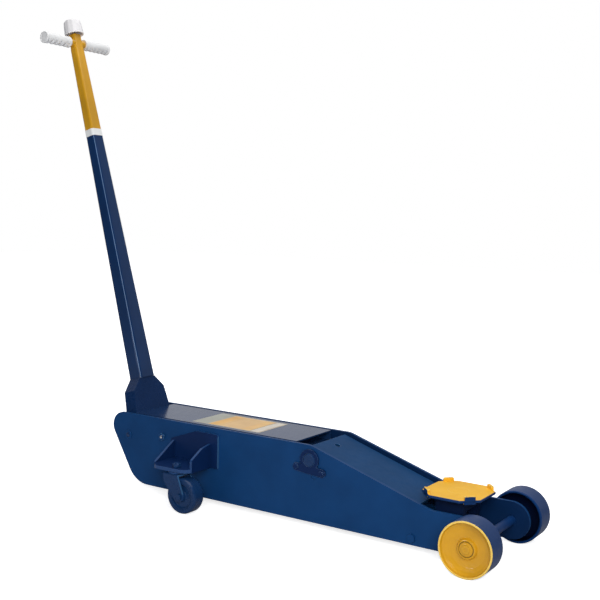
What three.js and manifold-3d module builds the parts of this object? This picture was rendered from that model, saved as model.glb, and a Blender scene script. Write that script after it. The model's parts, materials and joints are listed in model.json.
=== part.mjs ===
// A long-chassis hydraulic floor jack: two side plates on four wheels, a lift arm with a level
// saddle, a pump and ram between the plates, and a long handle with a T grip and release knob.
// Millimetres. +X points from the handle to the saddle, +Y to the left of someone at the handle,
// +Z up. The pieces are laid out about the front axle (X = 0, Z = 0 on the ground); the last lines
// bring the middle of the standing jack to the origin.
import * as THREE from "three";
import { mergeVertices } from "three/addons/utils/BufferGeometryUtils.js";
import Module from "manifold-3d";

const wasm = await Module();
wasm.setup();

// ---------------------------------------------------------------- driving dimensions

const seatGap = 0.3; // between pieces that seat on each other
const turnGap = 0.6; // radial, round a pin or shaft that turns
const swingGap = 8; // between the side plates and what swings between them

// Front wheels and axle
const frontWheelRadius = 76;
const frontWheelWidth = 72;
const frontWheelStandOff = 24; // side plate to wheel
const frontDishDepth = 15;
const frontRimWidth = 6;
const frontHubRadius = 24;
const axleRadius = 13;

// Side plates
const chassisWidth = 230; // over both plates
const plateThickness = 10;
const plateTop = 250;
const noseRadius = 54; // round the front axle
const slopeFootX = -145; // where the top edge starts to rise behind the axle
const slopeRadius = 60;
const rearTopRadius = 45;
const rearBottomRadius = 90;
const rearTopReach = 104; // corner behind the handle pivot
const rearBottomInset = 32; // corner ahead of the handle pivot

// Places of the main pivots
const armPivotX = -537;
const armPivotZ = 207;
const handlePivotX = -1256;
const handlePivotZ = 178;
const saddlePinX = -116;
const saddlePinZ = 95;

// Deck cover
const deckThickness = 5;
const deckFlange = 30;
const deckFrontGap = 61; // ahead of the deck, back from the arm pivot
const deckRearGap = 10; // handle pivot to the deck's rear edge
const deckBar = 14; // square bars that carry the deck

// Spacers and bolts across the chassis
const spacerRadius = 12;
const spacerBoltRadius = 7;
const spacerHeadRadius = 13;
const spacerHeadHeight = 7;
const spacerZ = 42;
const frontSpacerX = -200;
const rearSpacerFromHandle = 166;

// Lift arm
const armShaftRadius = 20;
const armSleeveWall = 5;
const retainerRadius = 32;
const retainerThickness = 6;
const cheekThickness = 8;
const cheekTop = 27;
const cheekBottom = 31;
const cheekRearRadius = 29;
const cheekTipRadius = 24;
const cheekFrontTop = 9;
const topPlateThickness = 6;
const topPlateOverhang = 8; // of the top plate over each cheek
const topPlateFrontGap = 86; // back from the saddle pin
const topPlateHole = 9;
const armTieRadius = 12;
const armTieAlong = 215;
const armTieRise = 8;
const saddlePinRadius = 11;

// Lever under the arm, driven by the ram
const leverDrop = 92; // arm pivot to ram axis
const leverSwing = 31; // degrees each side of straight down
const leverThickness = 12;
const leverHalfWidth = 26;
const leverGap = 24; // half the clear width between the two lever plates
const leverSlotClearance = 3;
const crossPinRadius = 11;

// Radius rods that keep the saddle level
const rodOffsetX = 14; // rod pins from the main pivots
const rodOffsetZ = -48;
const rodPinRadius = 8;
const rodThickness = 8;
const rodEndRadius = 12;
const rodHalfWidth = 9;
const rodLayer = 60; // inner face of each rod from the middle

// Saddle and its yoke
const saddleTop = 165;
const saddleLength = 176;
const saddleWidth = 188;
const saddleThickness = 8;
const saddleCorner = 42;
const saddleLugHeight = 11;
const saddleLugDrop = 4; // below the saddle's underside
const saddleLugThickness = 8;
const saddleLugLength = 34;
const saddleHubRadius = 32;
const saddleHubHeight = 7;
const saddleStemRadius = 15;
const saddleStemLength = 24;
const yokeLength = 84;
const yokeBlockHeight = 26;
const yokeLugThickness = 20;
const yokeHalfWidth = 58;
const yokeLugRadius = 19;

// Cylinder, ram and pump
const cylinderRadius = 50;
const cylinderBore = 34;
const glandLength = 25;
const glandRadius = 54;
const glandFromArm = 133; // gland's rear face, back from the arm pivot
const ramRadius = 20;
const pistonLength = 40;
const ramLength = 385;
const crossheadLength = 48;
const crossheadHeight = 52;
const supportThickness = 12;
const supportHeight = 116;
const supportFromArm = 198;
const pumpBlockTop = 118;
const pumpBlockBottom = 52;
const pumpBlockHalfWidth = 55;
const pumpBlockFront = 126; // ahead of the handle pivot
const pumpBlockRear = 20; // behind the handle pivot
const reservoirTop = 204;
const reservoirHalfWidth = 50;
const reservoirRear = 66; // ahead of the handle pivot
const reservoirFront = 178;
const reservoirLift = 5; // above the cylinder
const tieBoltX = 149; // ahead of the handle pivot
const tieBoltZ = 192;

// Pump plunger and its drive from the handle
const rollerReach = 24; // handle pivot to roller axis
const rollerAngle = 150; // degrees, anticlockwise from forward, at rest
const rollerRadius = 8;
const rollerClearance = 0.8;
const plungerRadius = 7;
const plungerHeadRadius = 10;
const plungerHeadHeight = 4;
const plungerInBarrel = 14; // with the handle at rest
const barrelWall = 6;
const springWire = 1.4;
const springTurns = 6;

// Handle
const handleLean = 15.9; // degrees back from upright
const handlePinRadius = 15;
const pinStandProud = 3;
const lugRadius = 23.5;
const lugGap = 42; // half the clear width between the socket's lugs
const socketDepth = 47;
const socketBottomHalfWidth = 84;
const socketTopHalfWidth = 73;
const socketBottom = 58;
const socketShoulder = 138;
const socketTop = 178;
const tubeBottomDepth = 56;
const tubeBottomWidth = 70;
const tubeTopDepth = 33;
const tubeTopWidth = 40;
const tubeCorner = 8;
const tubeWall = 3.5;
const bandStart = 1033;
const bandLength = 24;
const bandProud = 0.6;
const headStart = 1348;
const crossBarAt = 1371.6;
const headTop = 1402;
const headRadius = 18;
const collarRadius = 19;
const collarReach = 34;
const crossBarRadius = 11;
const gripRadius = 20;
const gripEnd = 147;
const knobTopRadius = 29;
const knobBottomRadius = 33;
const knobHeight = 50;
const knobCapThickness = 8;
const knobWall = 4;
const releaseRodRadius = 6;
const universalRadius = 8;
const spindleRadius = 6;
const spindleHeadRadius = 9;

// Casters
const casterWheelRadius = 55;
const casterWheelWidth = 46;
const casterWheelX = -925;
const casterTrail = 36;
const casterClearance = 3.5; // wheel to the side plate, swivelled inwards
const casterAxleRadius = 6;
const casterHubRadius = 16;
const forkThickness = 6;
const forkSideGap = 3;
const forkTopRadius = 28;
const forkWheelGap = 4;
const forkEndRadius = 15;
const raceRadius = 26;
const raceHeight = 5;
const kingBoltRadius = 8;
const kingNutRadius = 14;
const kingNutHeight = 13;
const shelfThickness = 11;
const shelfOverhang = 23; // outwards from the swivel axis
const shelfCorner = 26;
const webThickness = 8;
const frontWebOuterRise = 28;
const frontWebInnerRise = 66;
const rearWebInnerRise = 60;
const shelfRear = 96; // behind the swivel axis
const shelfFront = 60; // ahead of the swivel axis
const backPlateThickness = 8;
const backPlateRise = 96;
const backPlateFront = 26; // ahead of the front web

const round = 20; // sides of a small round piece
const wheelRound = 40; // sides of a front wheel

// ---------------------------------------------------------------- sizes that follow

const plateOuter = chassisWidth / 2;
const plateInner = plateOuter - plateThickness;
const axleZ = frontWheelRadius;
const plateBottom = axleZ - noseRadius;
const wheelInnerFace = plateOuter + frontWheelStandOff;
const wheelOuterFace = wheelInnerFace + frontWheelWidth;
const swingHalfWidth = plateInner - swingGap;
const radians = THREE.MathUtils.degToRad;
const armSlope = Math.atan2(armPivotZ - saddlePinZ, saddlePinX - armPivotX);
const armLength = Math.hypot(saddlePinX - armPivotX, armPivotZ - saddlePinZ);
const ramZ = armPivotZ - leverDrop;
const crossPinX = armPivotX - leverDrop * Math.tan(radians(leverSwing));
const glandRear = armPivotX - glandFromArm;
const pumpFrontX = handlePivotX + pumpBlockFront;
const reservoirFloor = ramZ + cylinderRadius + reservoirLift;
const cheekOuter = swingHalfWidth - seatGap;
const cheekInner = cheekOuter - cheekThickness;
const casterHalfWidth = casterWheelWidth / 2 + 2;
const casterReach = Math.hypot(casterTrail + casterWheelRadius, casterHalfWidth);
const casterFromPlate = casterReach + casterClearance;
const shelfReach = casterFromPlate + shelfOverhang;

// ---------------------------------------------------------------- finishes

function finish(color, roughness, metalness) {
  return () => new THREE.MeshStandardMaterial({ color, roughness, metalness });
}
const bluePaint = finish(0x183c64, 0.3, 0.0);
const yellowPaint = finish(0xd9a032, 0.4, 0.0);
const whitePlastic = finish(0xd6d6d4, 0.5, 0.0);
const bandWhite = finish(0xe6e6e2, 0.5, 0.0);
const steel = finish(0x8d9096, 0.4, 0.9);
const darkSteel = finish(0x2c3440, 0.5, 0.7);
const chrome = finish(0xc8ccd0, 0.15, 1.0);
const castIron = finish(0x1b2f4c, 0.55, 0.2);

// ---------------------------------------------------------------- solids and how they are made

function solid(geometry) {
  const bare = geometry.index ? geometry.toNonIndexed() : geometry.clone();
  bare.deleteAttribute("normal");
  bare.deleteAttribute("uv");
  const merged = mergeVertices(bare, 1e-4);
  const vertProperties = merged.attributes.position.array;
  const triVerts = new Uint32Array(merged.index.array);
  return new wasm.Manifold(new wasm.Mesh({ numProp: 3, vertProperties, triVerts }));
}

function geometryOf(made) {
  const mesh = made.getMesh();
  const positions = new THREE.BufferAttribute(new Float32Array(mesh.vertProperties), 3);
  const geometry = new THREE.BufferGeometry().setAttribute("position", positions);
  geometry.setIndex(new THREE.BufferAttribute(new Uint32Array(mesh.triVerts), 1));
  const faceted = geometry.toNonIndexed();
  faceted.computeVertexNormals();
  return faceted;
}

function join(first, ...others) {
  return geometryOf(others.reduce((sum, other) => sum.add(solid(other)), solid(first)));
}

function cut(first, ...others) {
  return geometryOf(others.reduce((left, other) => left.subtract(solid(other)), solid(first)));
}

function piece(name, geometry, material, group) {
  const mesh = new THREE.Mesh(geometry, material());
  mesh.name = name;
  group.add(mesh);
  return mesh;
}

// A closed outline whose corners are [x, y] or [x, y, fillet radius], listed anticlockwise.
function outline(corners) {
  const shape = new THREE.Shape();
  corners.forEach(([x, y, radius = 0], i) => {
    const here = new THREE.Vector2(x, y);
    const [beforeX, beforeY] = corners.at(i - 1);
    const [afterX, afterY] = corners[(i + 1) % corners.length];
    const back = new THREE.Vector2(beforeX, beforeY).sub(here).normalize();
    const on = new THREE.Vector2(afterX, afterY).sub(here).normalize();
    if (!radius) {
      if (i) shape.lineTo(x, y);
      else shape.moveTo(x, y);
      return;
    }
    const half = Math.acos(THREE.MathUtils.clamp(back.dot(on), -1, 1)) / 2;
    const start = here.clone().addScaledVector(back, radius / Math.tan(half));
    const end = here.clone().addScaledVector(on, radius / Math.tan(half));
    const middle = back.clone().add(on).normalize();
    const centre = here.clone().addScaledVector(middle, radius / Math.sin(half));
    const startAngle = Math.atan2(start.y - centre.y, start.x - centre.x);
    const endAngle = Math.atan2(end.y - centre.y, end.x - centre.x);
    shape.absarc(centre.x, centre.y, radius, startAngle, endAngle, back.cross(on) > 0);
  });
  shape.closePath();
  return shape;
}

// An outline of X and Z, thick from one Y to another.
function slabXZ(shape, yLow, yHigh, curveSegments = 3) {
  const options = { depth: yHigh - yLow, bevelEnabled: false, curveSegments };
  return new THREE.ExtrudeGeometry(shape, options).rotateX(Math.PI / 2).translate(0, yHigh, 0);
}

// An outline of Y and Z, thick from one X to another.
function slabYZ(shape, xLow, xHigh, curveSegments = 3) {
  const options = { depth: xHigh - xLow, bevelEnabled: false, curveSegments };
  const turn = new THREE.Matrix4().makeBasis(
    new THREE.Vector3(0, 1, 0),
    new THREE.Vector3(0, 0, 1),
    new THREE.Vector3(1, 0, 0),
  );
  return new THREE.ExtrudeGeometry(shape, options).applyMatrix4(turn).translate(xLow, 0, 0);
}

// An outline of X and Y, thick from one Z to another.
function slabXY(shape, zLow, zHigh, curveSegments = 3) {
  const options = { depth: zHigh - zLow, bevelEnabled: false, curveSegments };
  return new THREE.ExtrudeGeometry(shape, options).translate(0, 0, zLow);
}

function box(xLow, xHigh, yLow, yHigh, zLow, zHigh) {
  const middle = [(xLow + xHigh) / 2, (yLow + yHigh) / 2, (zLow + zHigh) / 2];
  return new THREE.BoxGeometry(xHigh - xLow, yHigh - yLow, zHigh - zLow).translate(...middle);
}

// A piece turned about an axis from [radius, place along the axis] pairs.
function turned(axis, profile, sides = round, phase = 0) {
  const points = profile.map(([radius, along]) => new THREE.Vector2(radius, along));
  const geometry = new THREE.LatheGeometry(points, sides, phase);
  if (axis === "x") geometry.rotateZ(-Math.PI / 2);
  if (axis === "z") geometry.rotateX(Math.PI / 2);
  return geometry;
}

function rod(axis, radius, low, high, sides = round) {
  return turned(axis, [[0, low], [radius, low], [radius, high], [0, high]], sides);
}

function ring(axis, inner, outer, low, high, sides = round) {
  const profile = [[inner, low], [outer, low], [outer, high], [inner, high], [inner, low]];
  return turned(axis, profile, sides);
}

// A rod across the jack at one X and Z.
function rodAcross(radius, x, z, yLow, yHigh, sides = round) {
  return rod("y", radius, yLow, yHigh, sides).translate(x, 0, z);
}

// A wheel's flats touch the ground, so its corners stand a little outside its radius.
function wheelScale(sides) {
  return 1 / Math.cos(Math.PI / sides);
}

// Both sides of the jack: +1 is the left, -1 the right.
const sidesOfJack = [["left", 1], ["right", -1]];

// A span of |Y| on one side, as the low and high Y.
function span(side, inner, outer) {
  return side > 0 ? [inner, outer] : [-outer, -inner];
}

const jack = new THREE.Group();

// ---------------------------------------------------------------- chassis

function sidePlateOutline() {
  const noseFillet = noseRadius - 0.1;
  return outline([
    [handlePivotX + rearBottomInset, plateBottom, rearBottomRadius],
    [noseRadius, plateBottom, noseFillet],
    [noseRadius, axleZ + noseRadius, noseFillet],
    [slopeFootX, axleZ + noseRadius, slopeRadius],
    [armPivotX, plateTop, slopeRadius],
    [handlePivotX - rearTopReach, plateTop, rearTopRadius],
  ]);
}

function addSidePlates() {
  for (const [name, side] of sidesOfJack) {
    const [low, high] = span(side, plateInner, plateOuter);
    const hole = (radius, x, z) => rodAcross(radius, x, z, low - 1, high + 1);
    const plate = cut(
      slabXZ(sidePlateOutline(), low, high, 5),
      hole(axleRadius + seatGap, 0, axleZ),
      hole(armShaftRadius + seatGap, armPivotX, armPivotZ),
      hole(handlePinRadius + seatGap, handlePivotX, handlePivotZ),
      hole(rodPinRadius + seatGap, armPivotX + rodOffsetX, armPivotZ + rodOffsetZ),
      hole(spacerBoltRadius + seatGap, frontSpacerX, spacerZ),
      hole(spacerBoltRadius + seatGap, handlePivotX + rearSpacerFromHandle, spacerZ),
      hole(spacerBoltRadius + seatGap, handlePivotX + tieBoltX, tieBoltZ),
    );
    piece("side_plate_" + name, plate, bluePaint, jack);
  }
}

function addDeck() {
  const rear = handlePivotX + deckRearGap;
  const front = armPivotX - deckFrontGap;
  const half = plateInner - swingGap;
  const bottom = plateTop - deckFlange;
  const inside = half - deckThickness;
  const channel = cut(
    box(rear, front, -half, half, bottom, plateTop),
    box(rear - 1, front + 1, -inside, inside, bottom - 1, plateTop - deckThickness),
  );
  const barHalf = plateInner - seatGap;
  const bars = [front - 2 * deckBar, rear + 4 * deckBar].map((x) =>
    box(x, x + deckBar, -barHalf, barHalf, bottom - deckBar + 1, bottom + 1),
  );
  piece("deck_cover", join(channel, ...bars), bluePaint, jack);
}

// A tube between the plates with a bolt through it, and a six-sided head outside each plate.
function addSpacer(name, x, z, radius, material) {
  const tube = rodAcross(radius, x, z, -(plateInner - seatGap), plateInner - seatGap);
  const reach = plateOuter + seatGap + spacerHeadHeight;
  const bolt = rodAcross(spacerBoltRadius, x, z, -reach, reach);
  const heads = sidesOfJack.map(([, side]) =>
    rodAcross(spacerHeadRadius, x, z, ...span(side, plateOuter + seatGap, reach), 6),
  );
  piece(name, join(tube, bolt, ...heads), material, jack);
}

function addFrontAxle() {
  const nutHeight = 10;
  const nutRadius = 19;
  const nutInner = wheelOuterFace - frontDishDepth + 1;
  const reach = nutInner + nutHeight;
  const nuts = sidesOfJack.map(([, side]) =>
    rodAcross(nutRadius, 0, axleZ, ...span(side, nutInner, reach), 6),
  );
  const axle = join(rodAcross(axleRadius, 0, axleZ, -reach, reach), ...nuts);
  piece("front_axle", axle, steel, jack);
  for (const [name, side] of sidesOfJack) {
    const [spacerLow, spacerHigh] = span(side, plateOuter + seatGap, wheelInnerFace - 1);
    const spacer = ring("y", axleRadius + seatGap, axleRadius + 9, spacerLow, spacerHigh);
    piece("axle_spacer_" + name, spacer.translate(0, 0, axleZ), bluePaint, jack);
  }
}

function frontWheel(side) {
  const scale = wheelScale(wheelRound);
  const outer = wheelOuterFace;
  const inner = wheelInnerFace;
  const web = outer - frontDishDepth;
  const bore = axleRadius + turnGap;
  const tread = frontWheelRadius * scale;
  const rim = tread - frontRimWidth;
  const profile = [
    [bore, inner],
    [frontHubRadius, inner],
    [frontHubRadius + 2, web - 17],
    [rim - 3, web - 15],
    [rim, inner + 2],
    [tread - 3, inner],
    [tread, inner + 3],
    [tread, outer - 3],
    [tread - 2, outer],
    [rim, outer],
    [rim - 4, web],
    [frontHubRadius + 6, web - 4],
    [frontHubRadius, web],
    [bore, web],
    [bore, inner],
  ];
  const wheel = turned("y", profile, wheelRound, Math.PI / wheelRound);
  if (side < 0) wheel.rotateX(Math.PI);
  return wheel.translate(0, 0, axleZ);
}

// ---------------------------------------------------------------- hydraulics

function addPump() {
  const bore = plungerRadius + turnGap;
  const rollerX = handlePivotX + rollerReach * Math.cos(radians(rollerAngle));
  const rollerZ = handlePivotZ + rollerReach * Math.sin(radians(rollerAngle));
  const stroke = rollerReach * Math.sin(radians(rollerAngle)) * 2;
  const plungerX = rollerX - (rollerReach + rollerX - handlePivotX) / 2;
  const plungerBottom = pumpBlockTop - plungerInBarrel;
  const barrelBottom = plungerBottom - stroke - barrelWall;
  const profile = outline([
    [handlePivotX + pumpBlockRear, pumpBlockBottom, 8],
    [pumpFrontX, pumpBlockBottom, 4],
    [pumpFrontX, pumpBlockTop],
    [handlePivotX - pumpBlockRear, pumpBlockTop],
    [handlePivotX - pumpBlockRear, pumpBlockTop - 22],
  ]);
  const standing = (radius, x, low, high) => rod("z", radius, low, high).translate(x, 0, 0);
  const block = cut(
    join(
      slabXZ(profile, -pumpBlockHalfWidth, pumpBlockHalfWidth),
      standing(bore + barrelWall, plungerX, barrelBottom, pumpBlockTop),
    ),
    standing(bore, plungerX, barrelBottom + barrelWall - 2, pumpBlockTop + 1),
    standing(spindleRadius + turnGap, handlePivotX, pumpBlockTop - 20, pumpBlockTop + 1),
  );
  piece("pump_block", block, castIron, jack);

  const headTopZ = rollerZ - rollerRadius - rollerClearance;
  const headBottomZ = headTopZ - plungerHeadHeight;
  const plunger = turned("z", [
    [0, plungerBottom],
    [plungerRadius, plungerBottom],
    [plungerRadius, headBottomZ],
    [plungerHeadRadius, headBottomZ],
    [plungerHeadRadius, headTopZ],
    [0, headTopZ],
  ]);
  piece("pump_plunger", plunger.translate(plungerX, 0, 0), chrome, jack);
  addSpring(plungerX, pumpBlockTop + seatGap, headBottomZ - seatGap);

  const spindleTop = handlePivotZ - universalRadius - 2;
  const spindle = turned("z", [
    [0, pumpBlockTop - 18],
    [spindleRadius, pumpBlockTop - 18],
    [spindleRadius, spindleTop - 12],
    [spindleHeadRadius, spindleTop - 12],
    [spindleHeadRadius, spindleTop],
    [0, spindleTop],
  ]);
  piece("release_spindle", spindle.translate(handlePivotX, 0, 0), steel, jack);
}

// A helix of round wire with its ends inside the given heights.
function addSpring(x, low, high) {
  const radius = plungerRadius + turnGap + springWire + 0.5;
  class Coil extends THREE.Curve {
    getPoint(t, target = new THREE.Vector3()) {
      const angle = t * springTurns * 2 * Math.PI;
      const z = low + springWire + t * (high - low - 2 * springWire);
      return target.set(x + radius * Math.cos(angle), radius * Math.sin(angle), z);
    }
  }
  const wire = new THREE.Shape().absarc(0, 0, springWire, 0, 2 * Math.PI);
  const options = { steps: springTurns * 12, extrudePath: new Coil(), curveSegments: 3 };
  piece("pump_spring", new THREE.ExtrudeGeometry(wire, options), steel, jack);
}

function addReservoir() {
  const rear = handlePivotX + reservoirRear;
  const front = handlePivotX + reservoirFront;
  const profile = outline([
    [rear, pumpBlockTop + seatGap],
    [pumpFrontX, pumpBlockTop + seatGap],
    [pumpFrontX, reservoirFloor],
    [front, reservoirFloor, 4],
    [front, reservoirTop, 10],
    [rear, reservoirTop, 10],
  ]);
  const boltX = handlePivotX + tieBoltX;
  const reservoir = cut(
    slabXZ(profile, -reservoirHalfWidth, reservoirHalfWidth),
    rodAcross(spacerBoltRadius + seatGap, boltX, tieBoltZ, -chassisWidth, chassisWidth),
  );
  piece("fluid_reservoir", reservoir, castIron, jack);
  const reach = plateOuter + seatGap + spacerHeadHeight;
  const bolt = rodAcross(spacerBoltRadius, boltX, tieBoltZ, -reach, reach);
  const heads = sidesOfJack.map(([, side]) =>
    rodAcross(spacerHeadRadius, boltX, tieBoltZ, ...span(side, plateOuter + seatGap, reach), 6),
  );
  piece("reservoir_bolt", join(bolt, ...heads), steel, jack);
}

function addCylinder() {
  const front = glandRear - seatGap;
  const tube = ring("x", cylinderBore, cylinderRadius, pumpFrontX + seatGap, front, 32);
  piece("cylinder", tube.translate(0, 0, ramZ), castIron, jack);

  const gland = ring("x", ramRadius + turnGap, glandRadius, glandRear, glandRear + glandLength, 32);
  piece("cylinder_gland", gland.translate(0, 0, ramZ), steel, jack);

  const supportX = armPivotX - supportFromArm;
  const half = plateInner - seatGap;
  const low = ramZ - supportHeight / 2;
  const support = cut(
    box(supportX - supportThickness, supportX, -half, half, low, low + supportHeight),
    rod("x", cylinderRadius + seatGap, supportX - 20, supportX + 20, 32).translate(0, 0, ramZ),
  );
  piece("cylinder_support", support, bluePaint, jack);
}

function addRam() {
  const rodFront = crossPinX - crossheadLength / 2 - seatGap;
  const rear = rodFront - ramLength;
  const ram = turned("x", [
    [0, rear],
    [cylinderBore - turnGap, rear],
    [cylinderBore - turnGap, rear + pistonLength],
    [ramRadius, rear + pistonLength],
    [ramRadius, rodFront],
    [0, rodFront],
  ]);
  piece("ram", ram.translate(0, 0, ramZ), chrome, jack);

  const half = leverGap - 1;
  const endX = crossPinX + crossheadLength / 2;
  const high = crossheadHeight / 2;
  const block = outline([
    [crossPinX - crossheadLength / 2, ramZ - high, 4],
    [endX, ramZ - high, 12],
    [endX, ramZ + high, 12],
    [crossPinX - crossheadLength / 2, ramZ + high, 4],
  ]);
  const pinReach = leverGap + leverThickness + 6;
  const crosshead = cut(
    slabXZ(block, -half, half),
    rodAcross(crossPinRadius + seatGap, crossPinX, ramZ, -half - 1, half + 1),
  );
  piece("ram_crosshead", crosshead, steel, jack);
  piece("crosshead_pin", rodAcross(crossPinRadius, crossPinX, ramZ, -pinReach, pinReach), steel, jack);
}

// ---------------------------------------------------------------- lift arm

// Along the arm is local X, and the arm pivot is its origin.
function armFrame() {
  const frame = new THREE.Group();
  frame.position.set(armPivotX, 0, armPivotZ);
  frame.rotation.y = armSlope;
  jack.add(frame);
  return frame;
}

function addArm() {
  const frame = armFrame();
  const tip = armLength + cheekTipRadius;
  const tipFillet = cheekTipRadius - 0.1;
  const cheekFront = armLength - topPlateFrontGap;
  const cheek = outline([
    [-cheekRearRadius, -cheekBottom, cheekRearRadius - 1],
    [cheekFront, -cheekBottom, 80],
    [tip, -cheekTipRadius, tipFillet],
    [tip, cheekTipRadius, tipFillet],
    [armLength - cheekTipRadius, cheekTipRadius, 10],
    [cheekFront, cheekFrontTop, 20],
    [-cheekRearRadius, cheekTop, 16],
  ]);
  for (const [name, side] of sidesOfJack) {
    const [low, high] = span(side, cheekInner, cheekOuter);
    const body = cut(
      slabXZ(cheek, low, high),
      rodAcross(armShaftRadius + turnGap, 0, 0, low - 1, high + 1),
      rodAcross(saddlePinRadius + turnGap, armLength, 0, low - 1, high + 1),
    );
    piece("arm_cheek_" + name, body, bluePaint, frame);
  }

  const rise = topPlateThickness;
  const rear = -cheekRearRadius + 9;
  const half = swingHalfWidth;
  const topLine = (u) => {
    const share = (u + cheekRearRadius) / (cheekFront + cheekRearRadius);
    return cheekTop + (cheekFrontTop - cheekTop) * share + seatGap;
  };
  const edge = outline([
    [rear, topLine(rear)],
    [cheekFront, topLine(cheekFront)],
    [cheekFront, topLine(cheekFront) + rise],
    [rear, topLine(rear) + rise],
  ]);
  const holeAt = topPlateOverhang + 8;
  const plate = cut(
    slabXZ(edge, -half, half),
    rod("z", topPlateHole, -cheekTop, 3 * cheekTop).translate(holeAt, 0, 0),
  );
  piece("arm_top_plate", plate, bluePaint, frame);

  const tieReach = cheekInner - seatGap;
  const tie = rodAcross(armTieRadius, armTieAlong, -armTieRise, -tieReach, tieReach);
  piece("arm_tie_tube", tie, bluePaint, frame);
  const pinReach = cheekOuter + 1;
  const pin = rodAcross(saddlePinRadius, armLength, 0, -pinReach, pinReach);
  piece("saddle_pin", pin, steel, frame);
}

// Two plates hang from a sleeve on the arm shaft, and the ram's cross pin runs in their slots.
function addLever() {
  const reach = leverDrop / Math.cos(radians(leverSwing));
  const slotHalf = crossPinRadius + leverSlotClearance;
  const end = reach + slotHalf + 12;
  const sleeveRadius = armShaftRadius + armSleeveWall;
  const blade = outline([
    [-leverHalfWidth, 0],
    [-leverHalfWidth, -end, 16],
    [leverHalfWidth, -end, 16],
    [leverHalfWidth, 0],
  ]);
  const slot = outline([
    [-slotHalf, -reach - slotHalf, slotHalf - 0.1],
    [slotHalf, -reach - slotHalf, slotHalf - 0.1],
    [slotHalf, -leverDrop + slotHalf, slotHalf - 0.1],
    [-slotHalf, -leverDrop + slotHalf, slotHalf - 0.1],
  ]);
  const blades = sidesOfJack.map(([, side]) =>
    slabXZ(blade, ...span(side, leverGap, leverGap + leverThickness)),
  );
  const sleeveReach = cheekInner - seatGap;
  const lever = cut(
    join(rod("y", sleeveRadius, -sleeveReach, sleeveReach), ...blades),
    rod("y", armShaftRadius + turnGap, -chassisWidth, chassisWidth),
    slabXZ(slot, -leverGap - leverThickness - 1, leverGap + leverThickness + 1),
  );
  const mesh = piece("lift_lever", lever, castIron, jack);
  mesh.position.set(armPivotX, 0, armPivotZ);
  mesh.rotation.y = radians(leverSwing);
}

function addArmShaft() {
  const proud = retainerThickness + seatGap + 2;
  const reach = plateOuter + proud;
  const shaft = rodAcross(armShaftRadius, armPivotX, armPivotZ, -reach, reach);
  piece("arm_pivot_shaft", shaft, steel, jack);
  const boltRadius = 8;
  const boltHeight = 5;
  const boltPlaces = [[-44, -24], [44, -34]];
  for (const [name, side] of sidesOfJack) {
    const [low, high] = span(side, plateOuter + seatGap, plateOuter + seatGap + retainerThickness);
    const face = side > 0 ? high : low;
    const [boltLow, boltHigh] = side > 0 ? [face - 1, face + boltHeight] : [face - boltHeight, face + 1];
    const ear = outline([
      [boltPlaces[0][0] - 12, boltPlaces[0][1] - 12, 11],
      [boltPlaces[1][0] + 12, boltPlaces[1][1] - 12, 11],
      [boltPlaces[1][0] + 12, boltPlaces[1][1] + 12, 11],
      [boltPlaces[0][0] - 12, boltPlaces[0][1] + 12, 11],
    ]);
    const keeper = cut(
      join(
        rod("y", retainerRadius, low, high),
        slabXZ(ear, low, high),
        ...boltPlaces.map(([x, z]) => rodAcross(boltRadius, x, z, boltLow, boltHigh, 6)),
      ),
      rod("y", armShaftRadius + seatGap, low - 1, high + 1),
    );
    piece("pivot_keeper_" + name, keeper.translate(armPivotX, 0, armPivotZ), bluePaint, jack);
  }
}

// ---------------------------------------------------------------- saddle

function addRadiusRods() {
  const link = outline([
    [-rodEndRadius, -rodEndRadius, rodEndRadius - 0.1],
    [rodEndRadius, -rodEndRadius, 4],
    [2 * rodEndRadius, -rodHalfWidth, 20],
    [armLength - 2 * rodEndRadius, -rodHalfWidth, 20],
    [armLength - rodEndRadius, -rodEndRadius, 4],
    [armLength + rodEndRadius, -rodEndRadius, rodEndRadius - 0.1],
    [armLength + rodEndRadius, rodEndRadius, rodEndRadius - 0.1],
    [armLength - rodEndRadius, rodEndRadius, 4],
    [armLength - 2 * rodEndRadius, rodHalfWidth, 20],
    [2 * rodEndRadius, rodHalfWidth, 20],
    [rodEndRadius, rodEndRadius, 4],
    [-rodEndRadius, rodEndRadius, rodEndRadius - 0.1],
  ]);
  const frame = new THREE.Group();
  frame.position.set(armPivotX + rodOffsetX, 0, armPivotZ + rodOffsetZ);
  frame.rotation.y = armSlope;
  jack.add(frame);
  for (const [name, side] of sidesOfJack) {
    const [low, high] = span(side, rodLayer, rodLayer + rodThickness);
    const body = cut(
      slabXZ(link, low, high, 2),
      rodAcross(rodPinRadius + turnGap, 0, 0, low - 1, high + 1),
      rodAcross(rodPinRadius + turnGap, armLength, 0, low - 1, high + 1),
    );
    piece("radius_rod_" + name, body, steel, frame);
    const [pinLow, pinHigh] = span(side, rodLayer - 3, plateOuter);
    const x = armPivotX + rodOffsetX;
    const z = armPivotZ + rodOffsetZ;
    piece("rod_pin_" + name, rodAcross(rodPinRadius, x, z, pinLow, pinHigh), steel, jack);
  }
}

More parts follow.
